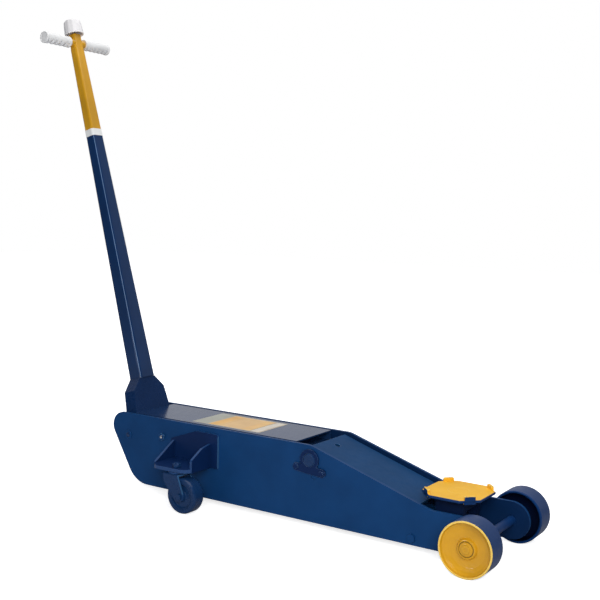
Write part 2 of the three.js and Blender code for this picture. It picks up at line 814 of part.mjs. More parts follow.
function addYoke() {
  const top = saddleTop - saddleThickness - saddleHubHeight - 1;
  const block = top - yokeBlockHeight;
  const half = yokeLength / 2;
  const lowPinX = saddlePinX + rodOffsetX;
  const lowPinZ = saddlePinZ + rodOffsetZ;
  const lug = outline([
    [lowPinX - yokeLugRadius, lowPinZ - yokeLugRadius, yokeLugRadius - 1],
    [lowPinX + yokeLugRadius, lowPinZ - yokeLugRadius, yokeLugRadius - 1],
    [saddlePinX + half, block],
    [saddlePinX + half, top, 4],
    [saddlePinX - half, top, 4],
    [saddlePinX - half, block],
    [saddlePinX - yokeLugRadius - 6, saddlePinZ - yokeLugRadius, 10],
  ]);
  const inner = yokeHalfWidth - yokeLugThickness;
  const lugs = sidesOfJack.map(([, side]) => slabXZ(lug, ...span(side, inner, yokeHalfWidth)));
  const pinReach = rodLayer + rodThickness + 3;
  const stubs = sidesOfJack.map(([, side]) =>
    rodAcross(rodPinRadius, lowPinX, lowPinZ, ...span(side, yokeHalfWidth - 4, pinReach)),
  );
  const yoke = cut(
    join(
      box(saddlePinX - half, saddlePinX + half, -yokeHalfWidth, yokeHalfWidth, block, top - 1),
      ...lugs,
      ...stubs,
    ),
    rodAcross(saddlePinRadius + turnGap, saddlePinX, saddlePinZ, -chassisWidth, chassisWidth),
    rod("z", saddleStemRadius + turnGap, block - 1, top + 1).translate(saddlePinX, 0, 0),
  );
  piece("saddle_yoke", yoke, castIron, jack);
}

function addSaddle() {
  const x = saddleLength / 2;
  const y = saddleWidth / 2;
  const bottom = saddleTop - saddleThickness;
  const plate = outline([
    [-x + saddleCorner, -y], [x - saddleCorner, -y], [x, -y + saddleCorner], [x, y - saddleCorner],
    [x - saddleCorner, y], [-x + saddleCorner, y], [-x, y - saddleCorner], [-x, -y + saddleCorner],
  ]);
  const hubBottom = bottom - saddleHubHeight;
  const hub = turned("z", [
    [0, hubBottom - saddleStemLength],
    [saddleStemRadius, hubBottom - saddleStemLength],
    [saddleStemRadius, hubBottom],
    [saddleHubRadius, hubBottom],
    [saddleHubRadius + 6, bottom + 1],
    [0, bottom + 1],
  ]);
  const lugs = [45, 135, 225, 315].map((angle) => {
    const nearCorner = Math.SQRT1_2 * (x + y - saddleCorner);
    const outward = nearCorner - saddleLugThickness;
    const wide = saddleLugLength / 2;
    const low = bottom - saddleLugDrop;
    const lug = box(outward, nearCorner, -wide, wide, low, saddleTop + saddleLugHeight);
    const middle = (y - x) * Math.SQRT1_2;
    const turnsWithY = Math.sign(Math.cos(radians(angle)) * Math.sin(radians(angle)));
    return lug.translate(0, middle * turnsWithY, 0).rotateZ(radians(angle));
  });
  const saddle = join(slabXY(plate, bottom, saddleTop), hub, ...lugs);
  piece("saddle", saddle.translate(saddlePinX, 0, 0), yellowPaint, jack);
}

// ---------------------------------------------------------------- handle

// Up the handle is local Z, forward is local X, and the handle pivot is the origin.
function handleFrame() {
  const frame = new THREE.Group();
  frame.position.set(handlePivotX, 0, handlePivotZ);
  frame.rotation.y = -radians(handleLean);
  jack.add(frame);
  return frame;
}

function tubeDepthAt(z) {
  const share = (z - socketTop) / (headStart - socketTop);
  return tubeBottomDepth + (tubeTopDepth - tubeBottomDepth) * share;
}

function tubeWidthAt(z) {
  const share = (z - socketTop) / (headStart - socketTop);
  return tubeBottomWidth + (tubeTopWidth - tubeBottomWidth) * share;
}

// A bar of round-cornered rectangular section that tapers evenly; grow widens it all round.
function taperedBar(low, high, grow) {
  const half = { x: 1, y: 1 };
  const corner = tubeCorner + grow;
  const shapeAt = (z) => {
    half.x = tubeDepthAt(z) / 2 + grow;
    half.y = tubeWidthAt(z) / 2 + grow;
    return outline([
      [half.x, -half.y, corner], [half.x, half.y, corner],
      [-half.x, half.y, corner], [-half.x, -half.y, corner],
    ]);
  };
  const bar = slabXY(shapeAt(low), low, high, 2);
  const lowPoints = shapeAt(low).getPoints(2);
  const highPoints = shapeAt(high).getPoints(2);
  const position = bar.attributes.position;
  for (let i = 0; i < position.count; i++) {
    if (position.getZ(i) < (low + high) / 2) continue;
    const match = lowPoints.findIndex(
      (point) => Math.hypot(point.x - position.getX(i), point.y - position.getY(i)) < 1e-3,
    );
    position.setXY(i, highPoints[match].x, highPoints[match].y);
  }
  return bar;
}

function addSocket(frame) {
  const topHalf = tubeBottomWidth / 2 + 1;
  const depth = socketDepth / 2;
  const front = outline([
    [socketBottomHalfWidth, socketBottom],
    [socketTopHalfWidth, socketShoulder],
    [topHalf, socketTop - seatGap],
    [-topHalf, socketTop - seatGap],
    [-socketTopHalfWidth, socketShoulder],
    [-socketBottomHalfWidth, socketBottom],
  ]);
  const earAngle = radians(rollerAngle - handleLean);
  const ear = [rollerReach * Math.cos(earAngle), rollerReach * Math.sin(earAngle)];
  const earRadius = rollerRadius + 4;
  const lugs = sidesOfJack.flatMap(([, side]) => {
    const [low, high] = span(side, lugGap, socketBottomHalfWidth);
    return [
      rod("y", lugRadius, low, high),
      rodAcross(earRadius, ear[0], ear[1], low, high),
      box(-depth, depth, low, high, 0, socketBottom + 1),
    ];
  });
  const arms = sidesOfJack.map(([, side]) => {
    const [low, high] = span(side, lugGap, socketBottomHalfWidth);
    const thin = box(0, rollerReach, low, high, -earRadius, earRadius);
    return thin.rotateY(-earAngle);
  });
  const socket = cut(
    join(slabYZ(front, -depth, depth), ...lugs, ...arms),
    rod("y", handlePinRadius + turnGap, -chassisWidth, chassisWidth),
    rodAcross(rollerRadius + seatGap, ear[0], ear[1], -chassisWidth, chassisWidth),
    rod("z", releaseRodRadius + 4, -socketTop, 2 * socketTop),
  );
  piece("handle_socket", socket, bluePaint, frame);
  const rollerHalf = socketBottomHalfWidth - 6;
  const roller = rodAcross(rollerRadius, ear[0], ear[1], -rollerHalf, rollerHalf);
  piece("pump_roller_pin", roller, steel, frame);
}

function addHandlePins() {
  for (const [name, side] of sidesOfJack) {
    const [low, high] = span(side, lugGap + 2, plateOuter + pinStandProud);
    const pin = rodAcross(handlePinRadius, handlePivotX, handlePivotZ, low, high);
    piece("handle_pin_" + name, pin, steel, jack);
  }
}

function addTubes(frame) {
  const hollow = (low, high) =>
    cut(taperedBar(low, high, 0), taperedBar(low - 1, high + 1, -tubeWall));
  const bandEnd = bandStart + bandLength;
  piece("handle_tube_lower", hollow(socketTop, bandStart - seatGap), bluePaint, frame);
  const band = cut(
    taperedBar(bandStart, bandEnd, bandProud),
    taperedBar(bandStart - 1, bandEnd + 1, -tubeWall),
  );
  piece("handle_band", band, bandWhite, frame);
  piece("handle_tube_upper", hollow(bandEnd + seatGap, headStart - seatGap), yellowPaint, frame);
}

function addHead(frame) {
  const barReach = gripEnd - 6;
  const head = cut(
    join(
      rod("z", headRadius, headStart, headTop),
      rodAcross(collarRadius, 0, crossBarAt, -collarReach, collarReach),
      rodAcross(crossBarRadius, 0, crossBarAt, -barReach, barReach),
    ),
    rod("z", releaseRodRadius + 2, headStart - 1, headTop + 1),
  );
  piece("handle_head", head, yellowPaint, frame);
  for (const [name, side] of sidesOfJack) {
    const [gripLow, gripHigh] = span(side, collarReach + seatGap, gripEnd);
    const [boreLow, boreHigh] = span(side, collarReach - 1, barReach + seatGap);
    const grip = cut(
      rodAcross(gripRadius, 0, crossBarAt, gripLow, gripHigh),
      rodAcross(crossBarRadius + seatGap, 0, crossBarAt, boreLow, boreHigh),
    );
    piece("grip_" + name, grip, whitePlastic, frame);
  }
}

function addRelease(frame) {
  const bottom = headTop + 1;
  const top = bottom + knobHeight;
  const roof = top - knobCapThickness;
  const rodTop = roof + 4;
  const knob = turned("z", [
    [releaseRodRadius + seatGap, roof],
    [knobTopRadius - knobWall, roof],
    [knobBottomRadius - knobWall, bottom],
    [knobBottomRadius, bottom],
    [knobTopRadius, top - 3],
    [knobTopRadius - 3, top],
    [0, top],
    [0, rodTop + seatGap],
    [releaseRodRadius + seatGap, rodTop + seatGap],
    [releaseRodRadius + seatGap, roof],
  ]);
  piece("release_knob", knob, whitePlastic, frame);
  const ball = universalRadius;
  const slope = Math.SQRT1_2;
  const releaseRod = turned("z", [
    [0, -ball],
    [ball * slope, -ball * slope],
    [ball, 0],
    [ball * slope, ball * slope],
    [releaseRodRadius, ball],
    [releaseRodRadius, rodTop],
    [0, rodTop],
  ], 12);
  piece("release_rod", releaseRod, steel, frame);
}

// ---------------------------------------------------------------- casters

function casterHeights() {
  const forkTop = 2 * casterWheelRadius + forkWheelGap + forkThickness;
  const raceBottom = forkTop + seatGap;
  const shelfBottom = raceBottom + raceHeight + seatGap;
  return { forkTop, raceBottom, shelfBottom, shelfTop: shelfBottom + shelfThickness };
}

function addCasterBracket(name, side) {
  const { shelfBottom, shelfTop } = casterHeights();
  const swivelX = casterWheelX - casterTrail;
  const start = plateOuter + seatGap;
  const swivelY = plateOuter + casterFromPlate;
  const reach = plateOuter + shelfReach;
  const rear = swivelX - shelfRear;
  const front = swivelX + shelfFront;
  const shelf = outline([
    [rear, start],
    [front, start],
    [front, reach - shelfCorner, shelfCorner],
    [front - shelfCorner, reach, shelfCorner],
    [rear + shelfCorner, reach, shelfCorner],
    [rear, reach - shelfCorner, shelfCorner],
  ]);
  const frontWeb = outline([
    [start, shelfBottom],
    [reach - shelfCorner + 4, shelfBottom],
    [reach - shelfCorner + 4, shelfTop + frontWebOuterRise, 8],
    [start + 50, shelfTop + frontWebInnerRise - 10, 30],
    [start, shelfTop + frontWebInnerRise],
  ]);
  const rearWeb = outline([
    [start, shelfBottom],
    [reach - shelfCorner, shelfBottom],
    [reach - shelfCorner, shelfTop + 2],
    [start, shelfTop + rearWebInnerRise],
  ]);
  const back = outline([
    [rear - 6, shelfBottom],
    [front + backPlateFront, shelfBottom],
    [front + backPlateFront, shelfTop + backPlateRise, 6],
    [swivelX, shelfTop + backPlateRise, 40],
    [rear - 6, shelfTop + rearWebInnerRise, 6],
  ]);
  const bracket = cut(
    join(
      slabXY(shelf, shelfBottom, shelfTop),
      slabYZ(frontWeb, front - webThickness, front),
      slabYZ(rearWeb, rear, rear + webThickness),
      slabXZ(back, start, start + backPlateThickness),
    ),
    rod("z", kingBoltRadius + seatGap, shelfBottom - 1, shelfTop + 1).translate(swivelX, swivelY, 0),
  );
  if (side < 0) bracket.scale(1, -1, 1);
  const mesh = piece("caster_bracket_" + name, side < 0 ? turnedInsideOut(bracket) : bracket, bluePaint, jack);
  return mesh;
}

// Reverses every face, as a mirrored geometry needs.
function turnedInsideOut(geometry) {
  const position = geometry.attributes.position;
  const a = new THREE.Vector3();
  const b = new THREE.Vector3();
  for (let i = 0; i < position.count; i += 3) {
    a.fromBufferAttribute(position, i + 1);
    b.fromBufferAttribute(position, i + 2);
    position.setXYZ(i + 1, b.x, b.y, b.z);
    position.setXYZ(i + 2, a.x, a.y, a.z);
  }
  geometry.computeVertexNormals();
  return geometry;
}

function addCaster(name, side) {
  const { forkTop, raceBottom, shelfTop } = casterHeights();
  const swivelX = casterWheelX - casterTrail;
  const swivelY = side * (plateOuter + casterFromPlate);
  const frame = new THREE.Group();
  frame.position.set(swivelX, swivelY, 0);
  jack.add(frame);

  const legInner = casterWheelWidth / 2 + forkSideGap;
  const legOuter = legInner + forkThickness;
  const axleZHere = casterWheelRadius;
  const leg = outline([
    [casterTrail - forkEndRadius, axleZHere - forkEndRadius, forkEndRadius - 0.1],
    [casterTrail + forkEndRadius, axleZHere - forkEndRadius, forkEndRadius - 0.1],
    [casterTrail + forkEndRadius, axleZHere + 6, 20],
    [forkTopRadius, forkTop],
    [-forkTopRadius, forkTop],
    [-forkTopRadius + 2, forkTop - 24, 30],
  ]);
  const legs = [-1, 1].map((s) => slabXZ(leg, ...span(s, legInner, legOuter)));
  const boltClear = kingBoltRadius + turnGap;
  const fork = cut(
    join(
      box(-forkTopRadius, forkTopRadius, -legOuter, legOuter, forkTop - forkThickness, forkTop),
      rod("z", raceRadius, forkTop - 1, raceBottom + raceHeight),
      ...legs,
    ),
    rod("z", boltClear, forkTop - 20, raceBottom + raceHeight + 1),
    rodAcross(casterAxleRadius + seatGap, casterTrail, axleZHere, -legOuter - 1, legOuter + 1),
  );
  piece("caster_fork_" + name, fork, bluePaint, frame);

  const headBottom = forkTop - forkThickness - 6;
  const boltTop = shelfTop + kingNutHeight;
  const king = join(
    rod("z", kingBoltRadius, headBottom, boltTop),
    rod("z", kingNutRadius, headBottom, forkTop - forkThickness - turnGap, 6),
    rod("z", kingNutRadius, shelfTop + seatGap, boltTop - 2, 6),
  );
  piece("king_bolt_" + name, king, steel, frame);

  const nutOuter = legOuter + 6;
  const axle = join(
    rodAcross(casterAxleRadius, casterTrail, axleZHere, -nutOuter, nutOuter),
    rodAcross(casterAxleRadius + 5, casterTrail, axleZHere, legOuter + seatGap, nutOuter, 6),
    rodAcross(casterAxleRadius + 5, casterTrail, axleZHere, -nutOuter, -legOuter - seatGap, 6),
  );
  piece("caster_axle_" + name, axle, steel, frame);

  const sides = 32;
  const tread = casterWheelRadius * wheelScale(sides);
  const half = casterWheelWidth / 2;
  const wheel = turned("y", [
    [casterAxleRadius + turnGap, -half - 2],
    [casterHubRadius, -half - 2],
    [casterHubRadius + 2, -half + 4],
    [tread - 14, -half + 4],
    [tread - 10, -half],
    [tread - 4, -half],
    [tread, -half + 5],
    [tread, half - 5],
    [tread - 4, half],
    [tread - 10, half],
    [tread - 14, half - 4],
    [casterHubRadius + 2, half - 4],
    [casterHubRadius, half + 2],
    [casterAxleRadius + turnGap, half + 2],
    [casterAxleRadius + turnGap, -half - 2],
  ], sides, Math.PI / sides);
  piece("caster_wheel_" + name, wheel.translate(casterTrail, 0, axleZHere), darkSteel, frame);
}

// ---------------------------------------------------------------- assembly

addSidePlates();
addDeck();
addSpacer("front_spacer", frontSpacerX, spacerZ, spacerRadius, bluePaint);
addSpacer("rear_spacer", handlePivotX + rearSpacerFromHandle, spacerZ, spacerRadius, bluePaint);
addFrontAxle();
for (const [name, side] of sidesOfJack) {
  piece("front_wheel_" + name, frontWheel(side), yellowPaint, jack);
  addCasterBracket(name, side);
  addCaster(name, side);
}
addPump();
addReservoir();
addCylinder();
addRam();
addArmShaft();
addArm();
addLever();
addRadiusRods();
addYoke();
addSaddle();
addHandlePins();
const handle = handleFrame();
addSocket(handle);
addTubes(handle);
addHead(handle);
addRelease(handle);

const standing = new THREE.Box3().setFromObject(jack, true);
jack.position.x = -(standing.min.x + standing.max.x) / 2;

export default jack;
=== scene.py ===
# %% [markdown]
# A long-chassis floor jack in Blender.
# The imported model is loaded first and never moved. It holds every size and every joint. Each piece
# below is then made again with finer edges and real finishes, in the place the model gives it, and
# rides on the body of the model that it belongs to.

# %% Load the frame
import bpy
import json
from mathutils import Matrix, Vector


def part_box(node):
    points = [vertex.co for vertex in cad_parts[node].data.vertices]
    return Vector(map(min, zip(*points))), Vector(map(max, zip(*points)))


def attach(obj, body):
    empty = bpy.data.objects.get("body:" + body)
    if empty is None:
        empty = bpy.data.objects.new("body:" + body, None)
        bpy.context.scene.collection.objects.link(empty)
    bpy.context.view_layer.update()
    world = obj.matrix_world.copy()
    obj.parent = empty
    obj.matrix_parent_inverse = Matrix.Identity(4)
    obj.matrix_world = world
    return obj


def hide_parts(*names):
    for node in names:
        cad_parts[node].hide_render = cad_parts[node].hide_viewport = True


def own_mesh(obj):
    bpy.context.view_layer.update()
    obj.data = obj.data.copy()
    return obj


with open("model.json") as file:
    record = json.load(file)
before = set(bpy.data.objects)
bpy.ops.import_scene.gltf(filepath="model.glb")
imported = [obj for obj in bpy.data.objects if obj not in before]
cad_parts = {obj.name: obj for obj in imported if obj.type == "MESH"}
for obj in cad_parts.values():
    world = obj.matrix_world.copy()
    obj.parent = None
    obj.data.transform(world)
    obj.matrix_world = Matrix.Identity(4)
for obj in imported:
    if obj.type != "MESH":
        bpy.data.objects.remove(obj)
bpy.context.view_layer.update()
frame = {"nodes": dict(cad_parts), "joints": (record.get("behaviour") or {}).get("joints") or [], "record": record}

# %% The rest of the imports
import json
import math
import bmesh
import bpy
from mathutils import Matrix, Vector

mm = 0.001
nodes = frame["nodes"]
body_holding = {
    node: body
    for body, members in frame["record"]["behaviour"]["bodies"].items()
    for node in members
}

# %% [markdown]
# Where things are. Every place could be typed in as a number, but then it would be wrong as soon as
# the model changed. So it is read from the boxes of the model's own nodes, and the pieces fit
# without any fitting. The front axle, the handle pivot, the saddle's stem and the top of the deck
# are the places that the rest is measured from.

# %% Main places, read from the model
def middle(node):
    low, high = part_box(node)
    return (low + high) / 2


axle = middle("front_axle")
handle_pivot = (middle("handle_pin_left") + middle("handle_pin_right")) / 2
saddle_axis = middle("saddle")
deck_low, deck_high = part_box("deck_cover")
knob_axis = Vector(next(j["axis"] for j in frame["joints"] if j["name"] == "knob_turn"))
handle_lean = math.atan2(-knob_axis.x, knob_axis.z)
handle_place = Matrix.Translation(handle_pivot) @ Matrix.Rotation(-handle_lean, 4, "Y")
print("handle leans back", round(math.degrees(handle_lean), 2), "degrees")

# %% [markdown]
# The camera stands low and to the front right of the jack. It comes early, because every later
# choice of edge and finish is made for what it sees. It could be aimed with a Track To constraint,
# but a matrix also holds the small roll about its own line of sight that a hand-held camera has.
# Its lens is slightly long, so the far wheels are not much smaller than the near ones.

# %% Camera
azimuth, tilt, roll = math.radians(33.45), math.radians(4.94), math.radians(1.36)
ahead = Vector((
    -math.sin(azimuth) * math.cos(tilt),
    math.cos(azimuth) * math.cos(tilt),
    -math.sin(tilt),
))
right = Vector((math.cos(azimuth), math.sin(azimuth), 0))
upward = right.cross(ahead)
turned_right = right * math.cos(roll) + upward * math.sin(roll)
turned_up = upward * math.cos(roll) - right * math.sin(roll)
camera_data = bpy.data.cameras.new("camera")
camera_data.sensor_width = 36
camera_data.lens = 59.11
camera_data.shift_x = -0.00645
camera_data.shift_y = -0.00243
camera = bpy.data.objects.new("camera", camera_data)
from_axle = Vector((994.6, -2486.4, 922.6)) * mm
stand = Vector((axle.x, 0, 0)) + from_axle
camera.matrix_world = Matrix.Translation(stand) @ Matrix((
    turned_right, turned_up, -ahead)).transposed().to_4x4()
bpy.context.scene.collection.objects.link(camera)
bpy.context.scene.camera = camera
print("camera", [round(v, 3) for v in camera.location])

# %% [markdown]
# Light. Glossy paint shows its surroundings more than its own colour, so the light round the jack
# matters as much as the lamps. The backdrop behind it is bright and gives the flat deck its pale
# sheen, the side the camera stands on is dim, so the upright plates stay deep blue, and a wide
# soft lamp overhead lights the tops. A picture of a studio wrapped round the scene could do this
# too, but a plain gradient is easier to steer. The two big lamps at the sides are left out of
# reflections, where their hard squares would show, and one small lamp near the floor is kept in
# them, for the bright spots on rounded edges.

# %% What the camera sees, and what the paint sees
def seen_by_camera(tree, seen, otherwise):
    """Mixes two shaders: one is seen straight on by the camera, the other lights the jack."""
    path = tree.nodes.new("ShaderNodeLightPath")
    choose = tree.nodes.new("ShaderNodeMixShader")
    tree.links.new(path.outputs["Is Camera Ray"], choose.inputs["Fac"])
    tree.links.new(otherwise, choose.inputs[1])
    tree.links.new(seen, choose.inputs[2])
    return choose.outputs["Shader"]


# %% Surroundings
world = bpy.data.worlds.new("studio")
bpy.context.scene.world = world
world.use_nodes = True
tree = world.node_tree
tree.nodes.clear()
place = tree.nodes.new("ShaderNodeTexCoord")
split = tree.nodes.new("ShaderNodeVectorMath")
split.operation = "DOT_PRODUCT"
split.inputs[1].default_value = (-0.55, 0.83, 0.06)
tree.links.new(place.outputs["Generated"], split.inputs[0])
ramp = tree.nodes.new("ShaderNodeValToRGB")
ramp.color_ramp.elements[0].position = 0.0
ramp.color_ramp.elements[0].color = (0.05, 0.055, 0.07, 1)
ramp.color_ramp.elements[1].position = 0.75
ramp.color_ramp.elements[1].color = (0.62, 0.63, 0.66, 1)
tree.links.new(split.outputs["Value"], ramp.inputs["Fac"])
room = tree.nodes.new("ShaderNodeBackground")
tree.links.new(ramp.outputs["Color"], room.inputs["Color"])
room.inputs["Strength"].default_value = 1.0
backdrop = tree.nodes.new("ShaderNodeBackground")
backdrop.inputs["Color"].default_value = (1, 1, 1, 1)
backdrop.inputs["Strength"].default_value = 1.0
out = tree.nodes.new("ShaderNodeOutputWorld")
tree.links.new(seen_by_camera(tree, backdrop.outputs["Background"], room.outputs["Background"]),
               out.inputs["Surface"])
bpy.context.scene.view_settings.view_transform = "Standard"
print("world", world.name)


# %% Lamps
def lamp(name, where, target, size, power):
    """A soft rectangular lamp, in metres and watts, aimed at a point."""
    data = bpy.data.lights.new(name, "AREA")
    data.shape = "RECTANGLE"
    data.size, data.size_y = size
    data.energy = power
    obj = bpy.data.objects.new(name, data)
    obj.location = where
    obj.rotation_euler = (Vector(target) - Vector(where)).to_track_quat("-Z", "Y").to_euler()
    bpy.context.scene.collection.objects.link(obj)
    return obj


lamp("overhead", (0.1, 0.2, 3.0), (0.0, 0.0, 0.2), (3.4, 2.4), 44)
front_fill = lamp("front_fill", (2.1, -2.7, 1.6), (0.0, 0.0, 0.4), (1.8, 1.4), 85)
left_rim = lamp("left_rim", (-2.4, 2.2, 1.6), (0.0, 0.0, 0.4), (1.8, 1.8), 16)
front_fill.visible_glossy = False
left_rim.visible_glossy = False
lamp("left_glint", (-0.6, -2.9, 0.45), (0.6, 0.0, 0.2), (0.6, 0.5), 6)
print(len(bpy.data.lights), "lamps")

# %% [markdown]
# The floor is a plain pale sheet, far larger than the view, so that no edge of it shows. The
# camera sees it as white paper, but the paint sees it dimmer, as it would the floor of a studio
# where only the backdrop is lit. A plain white sheet lit by lamps would be grey near the jack and
# would shine up into the blue paint, so the sheet gives a little light of its own instead, more of
# it the further it is from the jack.

# %% Floor
bm = bmesh.new()
bmesh.ops.create_grid(bm, x_segments=2, y_segments=2, size=14)
mesh = bpy.data.meshes.new("floor")
bm.to_mesh(mesh)
bm.free()
floor = bpy.data.objects.new("floor", mesh)
bpy.context.scene.collection.objects.link(floor)
floor_paper = bpy.data.materials.new("floor_paper")
floor_paper.use_nodes = True
tree = floor_paper.node_tree
paper = tree.nodes["Principled BSDF"]
paper.inputs["Base Color"].default_value = (0.93, 0.93, 0.93, 1)
paper.inputs["Roughness"].default_value = 0.9
paper.inputs["Specular IOR Level"].default_value = 0.0
paper.inputs["Emission Color"].default_value = (1, 1, 1, 1)
far_off = tree.nodes.new("ShaderNodeVectorMath")
far_off.operation = "LENGTH"
coords = tree.nodes.new("ShaderNodeTexCoord")
tree.links.new(coords.outputs["Object"], far_off.inputs[0])
spread = tree.nodes.new("ShaderNodeMapRange")
spread.inputs["From Min"].default_value = 1.0
spread.inputs["From Max"].default_value = 3.0
spread.inputs["To Min"].default_value = 0.74
spread.inputs["To Max"].default_value = 1.05
tree.links.new(far_off.outputs["Value"], spread.inputs["Value"])
tree.links.new(spread.outputs["Result"], paper.inputs["Emission Strength"])
dim_paper = tree.nodes.new("ShaderNodeBsdfDiffuse")
dim_paper.inputs["Color"].default_value = (0.46, 0.47, 0.50, 1)
tree.links.new(seen_by_camera(tree, paper.outputs["BSDF"], dim_paper.outputs["BSDF"]),
               tree.nodes["Material Output"].inputs["Surface"])
mesh.materials.append(floor_paper)
print("floor", floor.dimensions[:])


# %% [markdown]
# Finishes. The real jack is sprayed in blue and yellow, and under a lamp the paint is never quite
# flat: it has a fine orange-peel ripple, a slow drift of shade where it was sprayed thicker, and
# small scuffs. A picture of paint could be wrapped on, but it would need its own layout on every
# piece. Noise on Object coordinates, in metres, needs none. So one recipe is used for every colour,
# with the colour, the roughness, the clear coat and the depth of the ripple as its choices.

# %% A small node-building helper
def new_material(name):
    material = bpy.data.materials.new(name)
    material.use_nodes = True
    tree = material.node_tree
    return material, tree, tree.nodes["Principled BSDF"]


def noise(tree, scale, detail=3.0, rough=0.5):
    coords = tree.nodes.new("ShaderNodeTexCoord")
    made = tree.nodes.new("ShaderNodeTexNoise")
    made.inputs["Scale"].default_value = scale
    made.inputs["Detail"].default_value = detail
    made.inputs["Roughness"].default_value = rough
    tree.links.new(coords.outputs["Object"], made.inputs["Vector"])
    return made


def ramped(tree, source, stops):
    """A colour ramp. Each stop is a place from 0 to 1 and a colour."""
    made = tree.nodes.new("ShaderNodeValToRGB")
    elements = made.color_ramp.elements
    while len(elements) < len(stops):
        elements.new(0.5)
    for element, (position, color) in zip(elements, stops):
        element.position = position
        element.color = (*color, 1)
    tree.links.new(source, made.inputs["Fac"])
    return made.outputs["Color"]


def bump(tree, shader, source, strength, distance):
    made = tree.nodes.new("ShaderNodeBump")
    made.inputs["Strength"].default_value = strength
    made.inputs["Distance"].default_value = distance
    tree.links.new(source, made.inputs["Height"])
    tree.links.new(made.outputs["Normal"], shader.inputs["Normal"])
    return made


# %% Paint
drift_scale, scuff_scale, peel_scale = 9.0, 55.0, 260.0


def paint(name, shade, roughness, gloss, peel=0.012, drift=0.10, specular=0.5,
          coat_roughness=0.08):
    """Gloss is the weight of the clear coat, peel the depth of the ripple."""
    material, tree, shader = new_material(name)
    low = tuple(c * (1 - drift) for c in shade)
    high = tuple(min(1, c * (1 + drift)) for c in shade)
    slow = noise(tree, drift_scale, 4.0)
    color = ramped(tree, slow.outputs["Fac"], [(0.3, low), (0.7, high)])
    tree.links.new(color, shader.inputs["Base Color"])
    scuffs = noise(tree, scuff_scale, 5.0, 0.65)
    rough = ramped(tree, scuffs.outputs["Fac"], [
        (0.35, (roughness,) * 3), (0.75, (min(1, roughness + 0.10),) * 3)])
    tree.links.new(rough, shader.inputs["Roughness"])
    ripple = noise(tree, peel_scale, 2.0)
    bump(tree, shader, ripple.outputs["Fac"], peel, 0.0006)
    shader.inputs["Specular IOR Level"].default_value = specular
    shader.inputs["Coat Weight"].default_value = gloss
    shader.inputs["Coat Roughness"].default_value = coat_roughness
    return material


# %% Bare metal
def metal(name, shade, roughness, brush=(1.0, 1.0, 1.0)):
    """Steel with a fine grain. A larger brush value packs the grain closer along that axis."""
    material, tree, shader = new_material(name)
    coords = tree.nodes.new("ShaderNodeTexCoord")
    stretch = tree.nodes.new("ShaderNodeMapping")
    stretch.inputs["Scale"].default_value = brush
    grain = tree.nodes.new("ShaderNodeTexNoise")
    grain.inputs["Scale"].default_value = 160.0
    grain.inputs["Detail"].default_value = 4.0
    tree.links.new(coords.outputs["Object"], stretch.inputs["Vector"])
    tree.links.new(stretch.outputs["Vector"], grain.inputs["Vector"])
    low, high = tuple(c * 0.82 for c in shade), tuple(min(1, c * 1.1) for c in shade)
    color = ramped(tree, grain.outputs["Fac"], [(0.3, low), (0.7, high)])
    tree.links.new(color, shader.inputs["Base Color"])
    rough = ramped(tree, grain.outputs["Fac"], [
        (0.3, (roughness,) * 3), (0.8, (roughness + 0.15,) * 3)])
    tree.links.new(rough, shader.inputs["Roughness"])
    shader.inputs["Metallic"].default_value = 1.0
    bump(tree, shader, grain.outputs["Fac"], 0.08, 0.0003)
    return material


# %% [markdown]
# The colours. The jack is one blue and one yellow, but its plates, castings and edges take the
# light in different ways: flat plates look dull and deep, the deck mirrors the backdrop, and edges
# look paler. One finish for all would need lamps placed for each piece, so each kind of surface has
# a blue of its own, close to its neighbours', lighter or darker as painted light and shade. The pale
# edge, corner, lip and rim finishes are painted highlights, and the dark inner faces, recesses and
# hub ring are painted shade.

# %% The finishes of the jack
plate_blue = paint("plate_blue", (0.0058, 0.048, 0.158), 0.42, 0.0, specular=0.12)
# A paler blue for rounded and cut edges and for the forward-facing caster lips: a painted highlight.
edge_highlight_blue = paint("edge_highlight_blue", (0.040, 0.120, 0.260), 0.34, 0.0, specular=0.25)
deck_blue = paint("deck_blue", (0.008, 0.030, 0.095), 0.14, 0.0, peel=0.005, specular=0.5)
arm_blue = paint("arm_blue", (0.008, 0.052, 0.150), 0.50, 0.0, specular=0.08)
handle_blue = paint("handle_blue", (0.004, 0.028, 0.100), 0.14, 0.0, peel=0.004, specular=0.60)
# A pale blue for the middle of the handle's round corners: a painted highlight.
corner_highlight_blue = paint("corner_highlight_blue", (0.150, 0.250, 0.430), 0.20, 0.0, peel=0.006, specular=0.30)
socket_blue = paint("socket_blue", (0.004, 0.024, 0.090), 0.24, 0.0, peel=0.006, specular=0.20)
# A paler blue for the socket's rounded edges: a painted highlight.
socket_edge_highlight = paint("socket_edge_highlight", (0.030, 0.085, 0.210), 0.22, 0.0, peel=0.006, specular=0.40)
# A darker blue for the side plates' inner faces: painted shade.
plate_inside_shade = paint("plate_inside_shade", (0.0035, 0.020, 0.072), 0.42, 0.0, specular=0.12)
# A paler blue for the keepers' rounded edges: a painted highlight.
keeper_edge_highlight = paint("keeper_edge_highlight", (0.085, 0.165, 0.310), 0.22, 0.0, peel=0.006, specular=0.40)
caster_blue = paint("caster_blue", (0.007, 0.034, 0.110), 0.24, 0.0, specular=0.30)
bracket_blue = paint("bracket_blue", (0.004, 0.019, 0.080), 0.32, 0.0, specular=0.12)
# A paler blue for the narrow cut edges of the caster brackets and forks: a painted highlight.
lip_highlight_blue = paint("lip_highlight_blue", (0.014, 0.055, 0.170), 0.26, 0.0, specular=0.40)
wheel_blue = paint("wheel_blue", (0.005, 0.036, 0.140), 0.34, 0.0, specular=0.24)
